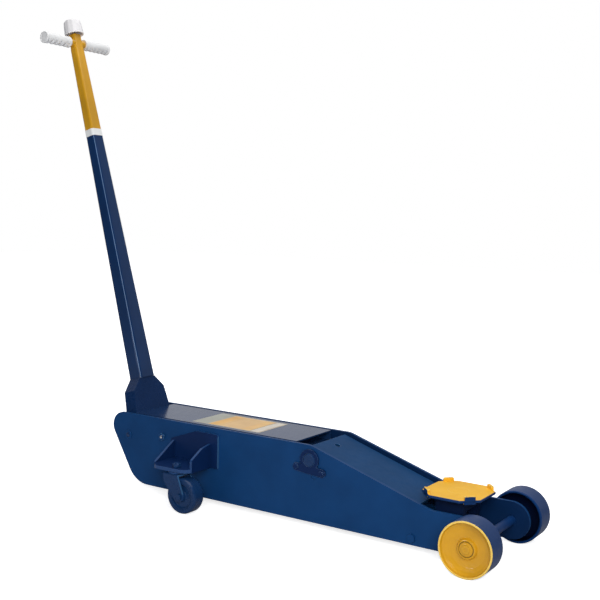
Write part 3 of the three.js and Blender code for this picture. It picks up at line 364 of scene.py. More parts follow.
# A near-black blue for the recess at the back of the front wheels: painted shade.
recess_shade_blue = paint("recess_shade_blue", (0.0012, 0.0045, 0.020), 0.55, 0.0, specular=0.10)
yellow = paint("yellow_paint", (0.66, 0.335, 0.012), 0.36, 0.6, drift=0.14, specular=0.3,
               coat_roughness=0.16)
# A darker yellow for the ring at the wheel hub: painted shade.
hub_groove_shade = paint("hub_groove_shade", (0.230, 0.115, 0.005), 0.50, 0.2, drift=0.06)
# A paler yellow for the wheel rims and the saddle's top edges: a painted highlight.
highlight_yellow = paint("highlight_yellow", (0.90, 0.60, 0.110), 0.25, 0.5, drift=0.06, specular=0.5)
saddle_yellow = paint("saddle_yellow", (0.95, 0.50, 0.032), 0.50, 0.0, drift=0.12, specular=0.2)
hidden_iron = paint("hidden_iron", (0.004, 0.012, 0.045), 0.55, 0.0, peel=0.3, specular=0.12)
bare_steel = metal("bare_steel", (0.42, 0.43, 0.45), 0.32)
bright_steel = metal("bright_steel", (0.78, 0.79, 0.80), 0.14)
ground_chrome = metal("ground_chrome", (0.62, 0.63, 0.65), 0.10, (1, 30, 30))
print(len(bpy.data.materials), "finishes so far")


# %% [markdown]
# The grips and the knob are moulded in white plastic, and the band is white tape. Plastic has no
# ripple. It has a faint cloudiness and a very fine grain from its mould, so it has its own recipe.

# %% White plastic for the grips, the knob and the band
def plastic(name, shade, roughness, ripple):
    material, tree, shader = new_material(name)
    cloud = noise(tree, 30.0, 4.0)
    low = tuple(c * 0.93 for c in shade)
    color = ramped(tree, cloud.outputs["Fac"], [(0.35, low), (0.65, shade)])
    tree.links.new(color, shader.inputs["Base Color"])
    rough = ramped(tree, cloud.outputs["Fac"], [
        (0.3, (roughness,) * 3), (0.8, (roughness + 0.12,) * 3)])
    tree.links.new(rough, shader.inputs["Roughness"])
    grain = noise(tree, 900.0, 2.0)
    bump(tree, shader, grain.outputs["Fac"], ripple, 0.0003)
    return material


grip_white = plastic("grip_white", (0.88, 0.88, 0.87), 0.42, 0.08)
knob_white = plastic("knob_white", (0.92, 0.90, 0.90), 0.34, 0.05)
band_white = plastic("band_white", (0.90, 0.91, 0.89), 0.5, 0.05)
print(len(bpy.data.materials), "finishes with the plastics")


# %% [markdown]
# Shapes. Three ways of making a solid cover almost the whole jack. A slab is an outline with
# rounded corners, pushed out into a thickness, as a plate is cut from sheet. A turned piece is a
# profile spun about an axis, as on a lathe. A refined copy is the model's own node with its
# loose triangles merged, its flat faces joined up and its sharp edges rounded.

# %% Rounding a list of corners
def rounded(corners, closed=True, steps=5):
    """Corners are (x, y) or (x, y, radius); each radius becomes an arc of a few points."""
    made = []
    last = len(corners) - 1
    for i, corner in enumerate(corners):
        here = Vector(corner[:2])
        radius = corner[2] if len(corner) > 2 else 0
        if not radius or (not closed and i in (0, last)):
            made.append(here)
            continue
        back = (Vector(corners[i - 1][:2]) - here).normalized()
        on = (Vector(corners[(i + 1) % len(corners)][:2]) - here).normalized()
        half = math.acos(max(-1, min(1, back.dot(on)))) / 2
        centre = here + (back + on).normalized() * radius / math.sin(half)
        start = here + back * radius / math.tan(half) - centre
        end = here + on * radius / math.tan(half) - centre
        turn = start.angle_signed(end, 0)
        for step in range(steps + 1):
            spoke = start.copy()
            spoke.rotate(Matrix.Rotation(-turn * step / steps, 2))
            made.append(centre + spoke)
    return made


square = [(0, 0, 2), (10, 0, 2), (10, 10, 2), (0, 10, 2)]
print("a square with round corners has", len(rounded(square)), "points")


# %% Solids from an outline or a profile
to_plane = {
    "x": lambda p, d: (d, p.x, p.y),
    "y": lambda p, d: (p.x, d, p.y),
    "z": lambda p, d: (p.x, p.y, d),
}
along_axis = {
    "x": Matrix.Rotation(math.pi / 2, 4, "Y"),
    "y": Matrix.Rotation(-math.pi / 2, 4, "X"),
    "z": Matrix.Identity(4),
}


def slab(corners, low, high, axis="y", steps=5):
    """An outline across an axis, in mm, thick from low to high along it."""
    bm = bmesh.new()
    place = to_plane[axis]
    points = rounded(corners, True, steps)
    face = bm.faces.new([bm.verts.new(Vector(place(p, low)) * mm) for p in points])
    pushed = bmesh.ops.extrude_face_region(bm, geom=[face])
    moved = [v for v in pushed["geom"] if isinstance(v, bmesh.types.BMVert)]
    push = Vector(place(Vector((0, 0)), high - low)) * mm
    bmesh.ops.translate(bm, verts=moved, vec=push)
    bmesh.ops.recalc_face_normals(bm, faces=bm.faces[:])
    return bm


def turned(profile, axis="z", closed=False, steps=72, curve=4):
    """A profile of (radius, place along the axis[, corner radius]) in mm, spun right round."""
    bm = bmesh.new()
    points = rounded(profile, closed, curve)
    verts = [bm.verts.new((p.x * mm, 0, p.y * mm)) for p in points]
    ends = list(zip(verts, verts[1:]))
    if closed:
        ends.append((verts[-1], verts[0]))
    edges = [bm.edges.new(pair) for pair in ends]
    bmesh.ops.spin(bm, geom=verts + edges, cent=(0, 0, 0), axis=(0, 0, 1), dvec=(0, 0, 0),
                   angle=2 * math.pi, steps=steps, use_merge=True, use_duplicate=False)
    bmesh.ops.remove_doubles(bm, verts=bm.verts[:], dist=1e-6)
    bmesh.ops.recalc_face_normals(bm, faces=bm.faces[:])
    bmesh.ops.transform(bm, matrix=along_axis[axis], verts=bm.verts[:])
    return bm


def moved(bm, x=0, y=0, z=0):
    bmesh.ops.translate(bm, verts=bm.verts[:], vec=(x, y, z))
    return bm


def under(bm, matrix):
    bmesh.ops.transform(bm, matrix=matrix, verts=bm.verts[:])
    return bm


def facing_out(bm):
    """Turns a piece half round, so that the upper end of its profile is on the right side."""
    bmesh.ops.rotate(bm, verts=bm.verts[:], cent=(0, 0, 0), matrix=Matrix.Rotation(math.pi, 3, "X"))
    return bm


trial = slab(square, 0, 5)
print("a trial slab holds", round(trial.calc_volume() / mm ** 3), "cubic mm")
trial.free()


# %% Rounding sharp edges, and joining shapes into one piece
def soften(bm, width, segments=3, angle=28, coat=0):
    """Rounds the edges that turn by more than the angle. The width is in mm, and coat is the
    number of the finish that the rounded edge takes, or None to keep its neighbours' finish."""
    sharp = [
        e for e in bm.edges
        if len(e.link_faces) == 2 and e.calc_face_angle(0) > math.radians(angle)
    ]
    if sharp:
        rounding = bmesh.ops.bevel(bm, geom=sharp, offset=width * mm, offset_type="OFFSET",
                                   segments=segments, profile=0.5, affect="EDGES",
                                   clamp_overlap=True, material=-1)
        for face in rounding["faces"] if coat is not None else []:
            face.material_index = coat
    return bm


def together(*shapes):
    """Several shapes in one piece, each a closed shell of its own."""
    whole = shapes[0]
    for shape in shapes[1:]:
        mesh = bpy.data.meshes.new("joining")
        shape.to_mesh(mesh)
        shape.free()
        whole.from_mesh(mesh)
        bpy.data.meshes.remove(mesh)
    return whole


def copy_of(node):
    """The node's mesh, with its loose triangles merged and its flat faces joined up."""
    bm = bmesh.new()
    bm.from_mesh(nodes[node].data)
    bmesh.ops.remove_doubles(bm, verts=bm.verts[:], dist=3e-6)
    bmesh.ops.dissolve_limit(bm, angle_limit=math.radians(0.6), verts=bm.verts[:],
                             edges=bm.edges[:], use_dissolve_boundaries=False)
    return bm


# %% Making a piece out of a shape
def piece(name, bm, finish, node=None, body=None, slot=None, also=(), smooth=32):
    """Puts the shape in the scene, on the body and in place of the node that it stands for."""
    mesh = bpy.data.meshes.new(name)
    bm.to_mesh(mesh)
    bm.free()
    mesh.shade_smooth()
    mesh.set_sharp_from_angle(angle=math.radians(smooth))
    for one in finish if isinstance(finish, (list, tuple)) else [finish]:
        mesh.materials.append(one)
    obj = bpy.data.objects.new(name, mesh)
    bpy.context.scene.collection.objects.link(obj)
    even = obj.modifiers.new("even_shading", "WEIGHTED_NORMAL")
    even.keep_sharp = True
    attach(obj, body or body_holding[node])
    if node:
        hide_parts(node, *also)
    print(name, len(mesh.vertices), "points")
    return obj


def refined(node, finish, width=0.8, segments=2, angle=28, edge_highlight=None):
    """A copy of a node with rounded edges, in place of it. The edges may have their own paler finish, a painted
    highlight.
    """
    bm = soften(copy_of(node), width, segments, angle, 1 if edge_highlight else 0)
    return piece(node + "_finished", bm, [finish, edge_highlight] if edge_highlight else finish, node)


def mirrored(bm):
    """The same shape on the other side of the jack."""
    bmesh.ops.scale(bm, vec=(1, -1, 1), verts=bm.verts[:])
    bmesh.ops.reverse_faces(bm, faces=bm.faces[:])
    return bm


def both_sides(name, make, finish, **about):
    """Makes a piece on each side. The shape is made for the right side, and mirrored."""
    for side in ("right", "left"):
        bm = make()
        if side == "left":
            mirrored(bm)
        piece(name + "_" + side + "_finished", bm, finish, name + "_" + side, **about)


# %% [markdown]
# Side plates. On the real jack they are sawn or burnt from thick plate, so their edges are square
# but for a small break, and that break catches a thin line of light along the top, painted on as a
# paler blue, a painted highlight. They could be drawn afresh as slabs, but a refined copy of the
# node keeps every hole where the bolts need it. The inner faces are painted a darker blue, as
# painted shade.

# %% Side plates
outer_face, cut_edge_highlight, shaded_inner_face = range(3)
for side, outward in (("left", 1), ("right", -1)):
    # The rounded edges take the paler blue, a painted highlight.
    plate = soften(copy_of("side_plate_" + side), 1.2, 3, coat=cut_edge_highlight)
    for face in plate.faces:
        # The inner faces take the darker blue, painted shade.
        if face.material_index == outer_face and face.normal.y * outward < -0.9:
            face.material_index = shaded_inner_face
    piece("side_plate_" + side + "_finished", plate, [plate_blue, edge_highlight_blue, plate_inside_shade],
          "side_plate_" + side)

# %% [markdown]
# The deck is a folded sheet with long flat gloss, flush with the plates. Its folds are rounder
# than a sawn edge, so its copy has a wider rounding.

# %% Deck cover
refined("deck_cover", deck_blue, width=1.6, segments=3)

# %% [markdown]
# The sticker is a printed film with rounded corners. Its print is replaced by plain blocks of
# colour. Each block could be a thin piece of its own, but one film with a stepped colour ramp along
# the deck, faded a little by noise, has no seams. A second mask across the deck gives the border.

# %% Sticker finish
sticker_start, sticker_end = deck_low.x + 231 * mm, deck_low.x + 497 * mm
sticker_ink, tree, shader = new_material("sticker_ink")
coords = tree.nodes.new("ShaderNodeTexCoord")
split = tree.nodes.new("ShaderNodeSeparateXYZ")
tree.links.new(coords.outputs["Object"], split.inputs["Vector"])
span = tree.nodes.new("ShaderNodeMapRange")
span.inputs["From Min"].default_value = sticker_start
span.inputs["From Max"].default_value = sticker_end
tree.links.new(split.outputs["X"], span.inputs["Value"])
blocks = ramped(tree, span.outputs["Result"], [
    (0.0, (0.42, 0.43, 0.36)), (0.225, (0.60, 0.50, 0.30)), (0.235, (0.84, 0.47, 0.10)),
    (0.36, (0.80, 0.50, 0.16)), (0.40, (0.70, 0.36, 0.10)), (0.408, (0.80, 0.51, 0.20)),
    (0.70, (0.74, 0.44, 0.17)), (0.708, (0.82, 0.50, 0.16)), (0.845, (0.12, 0.10, 0.08)),
    (0.853, (0.72, 0.66, 0.55)), (0.97, (0.56, 0.47, 0.33)),
])
blocks.node.color_ramp.interpolation = "CONSTANT"
fading = noise(tree, 14.0, 3.0)
tone = ramped(tree, fading.outputs["Fac"], [(0.35, (0.84, 0.80, 0.78)), (0.65, (1, 1, 1))])
tint = tree.nodes.new("ShaderNodeMix")
tint.data_type = "RGBA"
tint.blend_type = "MULTIPLY"
tint.inputs["Factor"].default_value = 1.0

# %% Sticker border
border_start, border_end = 73.5 * mm, 74 * mm
across = tree.nodes.new("ShaderNodeMath")
across.operation = "ABSOLUTE"
tree.links.new(split.outputs["Y"], across.inputs[0])
margin = tree.nodes.new("ShaderNodeMapRange")
margin.inputs["From Min"].default_value = border_start
margin.inputs["From Max"].default_value = border_end
tree.links.new(across.outputs["Value"], margin.inputs["Value"])
bordered = tree.nodes.new("ShaderNodeMix")
bordered.data_type = "RGBA"
bordered.inputs["B"].default_value = (0.46, 0.44, 0.36, 1)
tree.links.new(margin.outputs["Result"], bordered.inputs["Factor"])
tree.links.new(blocks, bordered.inputs["A"])
tree.links.new(bordered.outputs["Result"], tint.inputs["A"])
tree.links.new(tone, tint.inputs["B"])
tree.links.new(tint.outputs["Result"], shader.inputs["Base Color"])
shader.inputs["Roughness"].default_value = 0.4
bump(tree, shader, noise(tree, 300.0).outputs["Fac"], 0.05, 0.0003)
print("sticker", round((sticker_end - sticker_start) / mm), "mm long")

# %% Sticker
half_width, corner, sunk, proud = 79, 4, 0.02, 0.22
sticker = slab([
    (sticker_start / mm, -half_width, corner), (sticker_end / mm, -half_width, corner),
    (sticker_end / mm, half_width, corner), (sticker_start / mm, half_width, corner),
], deck_high.z / mm - sunk, deck_high.z / mm + proud, "z")
piece("deck_sticker", sticker, sticker_ink, body="frame", slot="white_plastic")

# %% [markdown]
# The lift arm. Its top plate shows ahead of the dark gap after the deck, and its cheeks show
# beside it. Both are flame-cut plate welded together, so they are refined copies like the side
# plates. The top plate's rounded edges are painted a paler blue, a painted highlight.

# %% Lift arm
refined("arm_top_plate", arm_blue, width=1.0, segments=3, edge_highlight=edge_highlight_blue)
for side in ("left", "right"):
    refined("arm_cheek_" + side, arm_blue, width=0.8)
refined("lift_lever", hidden_iron, width=0.8)
for side in ("left", "right"):
    refined("radius_rod_" + side, arm_blue, width=0.8)


# %% [markdown]
# Round bars. Pins, shafts, tubes and bolts are turned, with a small rounding at each end. They
# could be cylinders with a bevel, but a spun profile makes a plain bar and a bored tube in the same
# way. Their sizes come from the boxes of the nodes that they stand for.

# %% Round bars across the jack
def bar(node, finish, bore=0, chamfer=1.2, axis="y"):
    low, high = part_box(node)
    at = (low + high) / 2
    number = "xyz".index(axis)
    half = (high[number] - low[number]) / 2 / mm
    other = (number + 1) % 3
    radius = (high[other] - low[other]) / 2 / mm
    if bore:
        profile = [
            (bore, -half), (radius, -half, chamfer), (radius, half, chamfer), (bore, half)]
        bm = turned(profile, axis, closed=True)
    else:
        profile = [(0, -half), (radius, -half, chamfer), (radius, half, chamfer), (0, half)]
        bm = turned(profile, axis)
    return piece(node + "_finished", moved(bm, *at), finish, node)


for node in ("arm_tie_tube", "saddle_pin", "crosshead_pin"):
    bar(node, bare_steel)
for node in ("rod_pin_left", "rod_pin_right", "handle_pin_left", "handle_pin_right"):
    bar(node, plate_blue, chamfer=1.8)
bar("arm_pivot_shaft", caster_blue, chamfer=4)
bar("cylinder", hidden_iron, bore=34, axis="x")
bar("cylinder_gland", hidden_iron, bore=20.6, axis="x")
for side in ("left", "right"):
    bar("axle_spacer_" + side, wheel_blue, bore=13.3)

# %% [markdown]
# The pump, the ram and their carriers hardly show until the arm is up or the jack is seen from
# behind. Their nodes already have the right shape, so they are refined copies, dark where they are
# cast and bright where they slide.

# %% Hidden works
for node in ("ram_crosshead", "cylinder_support", "pump_block", "fluid_reservoir",
             "saddle_yoke"):
    refined(node, hidden_iron, width=1.0)
refined("release_spindle", bare_steel, width=0.6)
refined("pump_plunger", ground_chrome, width=0.6)
refined("ram", ground_chrome, width=1.0)
refined("release_rod", bare_steel, width=0.3)
refined("pump_roller_pin", bare_steel, width=0.6)

# %% [markdown]
# Bolts and keepers on the side plates. They were painted over with the plates, so they are blue.
# The rounded edges of the reservoir bolt and the keepers are painted a paler blue, a painted
# highlight, and the domed ends catch the light. A dome is turned, because a flat bolt end would
# mirror only one thing.

# %% Bolts that show on the side plates
for node in ("front_spacer", "rear_spacer"):
    refined(node, plate_blue, width=1.2, segments=3)
refined("reservoir_bolt", plate_blue, width=1.2, segments=3, edge_highlight=edge_highlight_blue)
for side in ("left", "right"):
    refined("pivot_keeper_" + side, bracket_blue, width=1.4, segments=3, edge_highlight=keeper_edge_highlight)


# %% Small domed ends in the bolts, which catch the light
def dome(node, radius, rise=3.2):
    low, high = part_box(node)
    at = (low + high) / 2
    cap = turned([(0, -0.4), (radius, -0.4), (radius, 0.4, 0.3), (radius * 0.7, rise * 0.8, 2),
                  (0, rise)], "y", steps=32)
    return moved(facing_out(cap), at.x, low.y, at.z)


piece("reservoir_bolt_end", dome("reservoir_bolt", 5.5), bright_steel, body="frame", slot="steel")
piece("handle_pin_right_end", dome("handle_pin_right", 7.5), handle_blue, body="frame",
      slot="blue_paint")
piece("handle_pin_left_end", mirrored(dome("handle_pin_right", 7.5)), handle_blue, body="frame",
      slot="blue_paint")


# %% [markdown]
# Front wheels. They are solid castings with a dished outer face, a hub boss with a ring turned in
# it and a hollow back. A disc could be cut and bevelled into this, but the whole wheel is round, so
# one profile spun about the axle gives it at once. The face is yellow and the tread and back are
# blue, with a masked edge between the coats, so one piece carries several finishes, picked by
# where each face lies: a paler rim, which is a painted highlight, a near-black recess at the back,
# which is painted shade, and a darker ring at the hub, which is painted shade.

# %% Front wheels
dish, tread, highlighted_rim, shaded_recess, shaded_hub_ring = range(5)


def front_wheel():
    low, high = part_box("front_wheel_right")
    radius = (high.x - low.x) / 2 / mm
    outer, inner = -low.y / mm, -high.y / mm
    profile = [
        (13.6, inner), (25, inner, 2), (27, outer - 32, 6), (66, outer - 30, 6),
        (69, inner + 2, 1.5), (radius - 2.5, inner, 1), (radius, inner + 3, 3),
        (radius, outer - 2.5, 2), (radius - 1.6, outer, 1.2), (radius - 5.2, outer, 1.6),
        (radius - 8.5, outer - 7, 2), (60, outer - 11.5, 10), (50, outer - 15.2, 14),
        (38, outer - 17.2, 16), (29, outer - 17.2, 2), (25.5, outer - 9.4, 2),
        (21.5, outer - 8.6, 0.8),
        (20.8, outer - 10.4, 0.5), (19.6, outer - 10.4, 0.5), (19, outer - 8.6, 0.6),
        (13.6, outer - 8.6),
    ]
    bm = facing_out(turned(profile, "y", closed=True, steps=128))
    moved(bm, axle.x, 0, axle.z)
    mask = -(outer - 1.9) * mm
    for face in bm.faces:
        centre = face.calc_center_median()
        out = math.hypot(centre.x - axle.x, centre.z - axle.z)
        behind = centre.y > -(outer - 30) * mm
        blue = centre.y > mask and (out > (radius - 0.9) * mm or behind)
        face.material_index = tread if blue else dish
        # The rim takes the paler yellow: a painted highlight.
        if not blue and out > (radius - 8) * mm and centre.y < mask:
            face.material_index = highlighted_rim
        # The recess at the back takes the near-black blue: painted shade.
        if centre.y > -(outer - 26) * mm and 25.5 * mm < out < 69.2 * mm:
            face.material_index = shaded_recess
        # The ring at the hub takes the darker yellow: painted shade.
        if centre.y < -(outer - 12) * mm and 19 * mm < out < 21.2 * mm:
            face.material_index = shaded_hub_ring
    return bm


both_sides("front_wheel", front_wheel, [yellow, wheel_blue, highlight_yellow, recess_shade_blue, hub_groove_shade])


# %% Front axle and its hub nuts
def hub_nut():
    low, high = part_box("front_axle")
    end = -low.y / mm
    profile = [
        (13.05, end - 9.5), (17.5, end - 9.5, 1), (17.5, end - 3.5, 1.4), (12.5, end - 2.6, 0.8),
        (11.5, end - 0.4, 1.2), (5, end - 0.2, 0.6), (4, end - 1.6, 0.6), (0, end - 1.8),
        (0, end - 9.5),
    ]
    return moved(facing_out(turned(profile, "y", steps=64)), axle.x, 0, axle.z)


nut_height = 10
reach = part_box("front_axle")[1].y / mm - nut_height
bar_shape = turned([(0, -reach), (13, -reach, 1), (13, reach, 1), (0, reach)], "y", steps=64)
piece("front_axle_finished", moved(bar_shape, axle.x, 0, axle.z), wheel_blue, "front_axle")
piece("hub_nut_right", hub_nut(), yellow, body="frame", slot="yellow_paint")
piece("hub_nut_left", mirrored(hub_nut()), yellow, body="frame", slot="yellow_paint")


# %% [markdown]
# The saddle is a flat pad with cut corners and an upright lug on each. The pad and the lugs are
# slabs and the stem is turned, each a closed shell of its own, because welds between castings show
# as corners and not as blends. It was painted blue all over and then yellow on top, so its outer
# sides and underside stay blue.

# %% Saddle
lug_rise = 11
pad_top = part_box("saddle")[1].z / mm - lug_rise
stem = saddle_axis.x, saddle_axis.y


def saddle_shape():
    x, y, cut = 88, 94, 42
    pad = slab([
        (-x + cut, -y, 2), (x - cut, -y, 2), (x, -y + cut, 2), (x, y - cut, 2),
        (x - cut, y, 2), (-x + cut, y, 2), (-x, y - cut, 2), (-x, -y + cut, 2),
    ], pad_top - 8, pad_top, "z", steps=3)
    soften(pad, 2.4, 4, 40)
    hub = turned([
        (0, pad_top - 39), (15, pad_top - 39, 1), (15, pad_top - 15), (32, pad_top - 15, 2),
        (38, pad_top - 7.5), (0, pad_top - 7.5)], "z", steps=64)
    mark = turned([
        (29, pad_top - 0.3), (29.6, pad_top + 0.25, 0.2), (31, pad_top + 0.25, 0.2),
        (31.6, pad_top - 0.3)], "z", closed=True, steps=96)
    lugs = []
    for angle in (45, 135, 225, 315):
        a = math.radians(angle)
        out = math.sqrt(0.5) * (x + y - cut)
        across = (y - x) * math.sqrt(0.5) * math.copysign(1, math.cos(a) * math.sin(a))
        lug = slab([
            (-17, pad_top - 12, 2), (17, pad_top - 12, 2), (15, pad_top + lug_rise, 3),
            (-15, pad_top + lug_rise, 3)], 0, 8, "x")
        soften(lug, 1.2, 3, 40)
        moved(lug, (out - 8) * mm, across * mm, 0)
        lugs.append(under(lug, Matrix.Rotation(a, 4, "Z")))
    return moved(together(pad, hub, mark, *lugs), *stem)


def is_side(face):
    """True for the underside and for the outer faces below the tops of the lugs."""
    centre = face.calc_center_median() - Vector((*stem, 0))
    outward = Vector((centre.x, centre.y, 0)).normalized().dot(face.normal)
    return centre.z < (pad_top - 2.2) * mm or (
        outward > 0.55 and centre.z < (pad_top + 9.6) * mm and centre.xy.length > 0.07)


def saddle_coats():
    bm = saddle_shape()
    for face in bm.faces:
        face.material_index = int(is_side(face))
        # The sloping faces of the top's rounded edges take the paler yellow: a painted highlight.
        if face.material_index == 0 and 0.2 < face.normal.z < 0.97:
            face.material_index = 2
    return bm


piece("saddle_finished", saddle_coats(), [saddle_yellow, wheel_blue, highlight_yellow], "saddle")


# %% [markdown]
# Casters. Each hangs from a bracket welded to the side plate: a shelf between two webs, like a
# bucket, with a thick edge that shows as a bright band, which is painted on as a paler blue, a
# painted highlight. The fork is folded plate. The edge could be a thin strip laid on, but the copy
# of the node already has it, as faces much narrower than the rest, so those faces are found by
# their width and given the paler blue.

# %% Caster brackets, forks and bolts
long_lip = 200 * mm ** 2


def lips_with_highlight(node, finish, narrow, width):
    """A refined copy whose narrow faces, the cut edges of its plates, have the lip's paler finish, a
    painted highlight. The long ones that look forward are paler still, a brighter painted highlight."""
    bm = copy_of(node)
    lips = [
        f for f in bm.faces
        if 2 * f.calc_area() / sum(e.calc_length() for e in f.edges) < narrow * mm
    ]
    for face in lips:
        # The long lips that face forward, towards the light, take the palest blue: a brighter painted highlight.
        face.material_index = 2 if face.normal.x > 0.9 and face.calc_area() > long_lip else 1
    soften(bm, width, 3, coat=None)
    return piece(node + "_finished", bm, [finish, lip_highlight_blue, edge_highlight_blue], node)


for side in ("left", "right"):
    lips_with_highlight("caster_bracket_" + side, bracket_blue, 10.6, 1.8)
    lips_with_highlight("caster_fork_" + side, caster_blue, 5.8, 1.0)
    refined("king_bolt_" + side, caster_blue, width=1.2, segments=3)
    refined("caster_axle_" + side, caster_blue, width=1.0, segments=3)


# %% [markdown]
# A caster wheel is a small solid casting with a web, a raised ring and a rounded tread, the same on
# both faces. It is turned from one profile, as the front wheels are.

# %% Caster wheels
def caster_wheel():
    low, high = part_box("caster_wheel_right")
    at = (low + high) / 2
    radius = (high.z - low.z) / 2 / mm
    half = (high.y - low.y) / 2 / mm
    rim = half - 2
    profile = [
        (6.6, -half), (15, -half, 1), (17, -rim + 6, 4), (34, -rim + 6.5, 4), (37.5, -rim, 1.5),
        (39.5, -rim, 0.6), (40.2, -rim + 1.5, 0.6), (41.4, -rim + 1.5, 0.6), (42.2, -rim, 0.6),
        (radius - 3, -rim, 3), (radius, -rim + 7, 8), (radius, rim - 7, 8), (radius - 3, rim, 3),
        (42.2, rim, 0.6), (41.4, rim - 1.5, 0.6), (40.2, rim - 1.5, 0.6), (39.5, rim, 0.6),
        (37.5, rim, 1.5), (34, rim - 6.5, 4), (17, rim - 6, 4), (15, half, 1), (6.6, half),
    ]
    return moved(turned(profile, "y", closed=True, steps=96), *at)


both_sides("caster_wheel", caster_wheel, caster_blue)

# %% [markdown]
# The handle is a long tapering tube with round corners, painted blue, then a white band, then
# yellow. A stretched box with rounded edges would do, but its corners would shrink with the taper.
# So the outline is drawn at both ends with the same number of points, inside and out, and the rings
# are bridged, which keeps the corners in line all the way up. Along each corner of the blue part
# runs a thin pale line, a painted highlight, so the middle of each round corner has a paler finish
# of its own.

# %% Heights up the handle, in mm from its pivot
tube_foot, blue_end, band_start, band_end = 178, 1032.7, 1033, 1057
yellow_start, yellow_end, head_start, tube_top = 1057.3, 1347.7, 1347.8, 1348
grip_height = 1371.6
print("the tube is", tube_top - tube_foot, "mm long")


# %% Handle tube
def tube_half(z):
    """Half of the tube's depth and width at a height."""
    share = (z - tube_foot) / (tube_top - tube_foot)
    return (56 + (33 - 56) * share) / 2, (70 + (40 - 70) * share) / 2


def bridged(rings):
    """Rings of the same number of points, in mm, bridged into one tube that closes on itself."""
    bm = bmesh.new()
    loops = []
    for ring in rings:
        verts = [bm.verts.new(p * mm) for p in ring]
        loops.append([bm.edges.new(pair) for pair in zip(verts, verts[1:] + verts[:1])])
    for one, other in zip(loops, loops[1:] + loops[:1]):
        bmesh.ops.bridge_loops(bm, edges=one + other)
    bmesh.ops.recalc_face_normals(bm, faces=bm.faces[:])
    return bm


def tube_outline(z, grow=0.0):
    x, y = tube_half(z)
    x, y, r = x + grow, y + grow, 8 + grow
    return rounded([(x, -y, r), (x, y, r), (-x, y, r), (-x, -y, r)], True, 7)


def tube(low, high, grow=0.0, wall=3.5):
    rings = [
        [Vector((p.x, p.y, z)) for p in tube_outline(z, grow - inset)]
        for z, inset in ((low, 0), (high, 0), (high, wall), (low, wall))
    ]
    return bridged(rings)


blue_tube = tube(tube_foot, blue_end)
# The middle of each round corner takes the pale blue: a painted highlight.
for face in blue_tube.faces:
    from_diagonal = abs(abs(face.normal.x) - abs(face.normal.y))
    face.material_index = int(abs(face.normal.z) < 0.5 and from_diagonal < 0.2)
piece("handle_tube_lower_finished", under(blue_tube, handle_place), [handle_blue, corner_highlight_blue],
      "handle_tube_lower")
piece("handle_band_finished", under(tube(band_start, band_end, 0.6), handle_place), band_white,
      "handle_band")
piece("handle_tube_upper_finished", under(tube(yellow_start, yellow_end), handle_place), yellow,
      "handle_tube_upper")

# %% [markdown]
# The socket at the foot of the handle is a forged block with shoulders. Its node has the right
# planes, and forging leaves wide round edges, so it is a refined copy with a wide rounding. Its
# rounded edges are painted a paler blue, a painted highlight.

# %% Socket
refined("handle_socket", socket_blue, width=2.4, segments=3, angle=20, edge_highlight=socket_edge_highlight)

# %% [markdown]
# The head of the handle: a neck, and a collar across it that holds the grips. The grips are moulded
# with a hollow for each finger underneath and fine ribs along them. Hollows could be cut with
# balls, but moving the points of a turned grip by two waves, one along it and one round it, keeps
# the mesh clean and the shape soft.


# %% Grips
def grip():
    start, end, count, plain = 34.3, 147.0, 5, 7
    hollow, rib_height, ribs = 6.4, 0.22, 36
    stations = [(18.6, start + plain + (end - start - 2 * plain) * i / (count * 10))
                for i in range(count * 10 + 1)]
    profile = [(11.3, start), (18.9, start, 1.2), (19.3, start + 3.5, 1)] + stations + [
        (19.6, end - 5, 1), (19.6, end - 0.8, 1.2), (15.5, end, 1), (14.5, end - 1.6, 0.5),
        (0, end - 1.6), (0, end - 5.6), (11.3, end - 5.6)]
    bm = turned(profile, "y", closed=True, steps=144)
    for vert in bm.verts:
        out = math.hypot(vert.co.x, vert.co.z) / mm
        along = (vert.co.y / mm - start - plain) / (end - start - 2 * plain)
        if out < 17 or not 0 <= along <= 1:
            continue
        below = max(0, (-0.42 * vert.co.x - 0.91 * vert.co.z) / mm / out)
        wave = -hollow * (1 - abs(math.sin(along * count * math.pi))) * below
        rib = rib_height * math.cos(ribs * math.atan2(vert.co.x, vert.co.z))
        vert.co.x *= (out + wave + rib) / out
        vert.co.z *= (out + wave + rib) / out
    bmesh.ops.scale(bm, vec=(1, -1, 1), verts=bm.verts[:])
    bmesh.ops.recalc_face_normals(bm, faces=bm.faces[:])
    return under(moved(bm, 0, 0, grip_height * mm), handle_place)


both_sides("grip", grip, grip_white)

# %% Head: the neck goes from the tube's outline to a round
top = tube_outline(head_start)
neck = bridged([[Vector((p.x, p.y, head_start)) for p in top]] + [
    [Vector((*(p.normalized() * radius), z)) for p in top]
    for radius, z in ((20.5, 1366), (20.5, 1400.6), (19.5, 1402), (8, 1402), (8, head_start))])
collar = moved(turned([
    (0, -34), (13.5, -34, 1), (15, -22, 4), (15, 22, 4), (13.5, 34, 1), (0, 34)],
    "y", steps=64), 0, 0, grip_height * mm)
cross_bar = moved(turned([
    (0, -141), (11, -141, 1), (11, 141, 1), (0, 141)], "y", steps=48), 0, 0, grip_height * mm)
piece("handle_head_finished", under(together(neck, collar, cross_bar), handle_place), yellow,
      "handle_head")


# %% [markdown]
# The release knob is a white cap with twelve flutes for the fingers, hollow below. Flutes could be
# cut out of a turned cap, but here the circle it starts from is waved, and each new ring is pushed
# out from the last, first up the outside and then back up the inside.

# %% Release knob
def next_ring(bm, loop, grow, height):
    """Pushes a new ring out of the last one, to another width and height. Gives back its edges."""
    grown = bmesh.ops.extrude_edge_only(bm, edges=loop)["geom"]
    verts = [v for v in grown if isinstance(v, bmesh.types.BMVert)]
    bmesh.ops.scale(bm, vec=(grow, grow, 1), verts=verts)
    for vert in verts:
        vert.co.z = height * mm
    return [e for e in grown if isinstance(e, bmesh.types.BMEdge)]


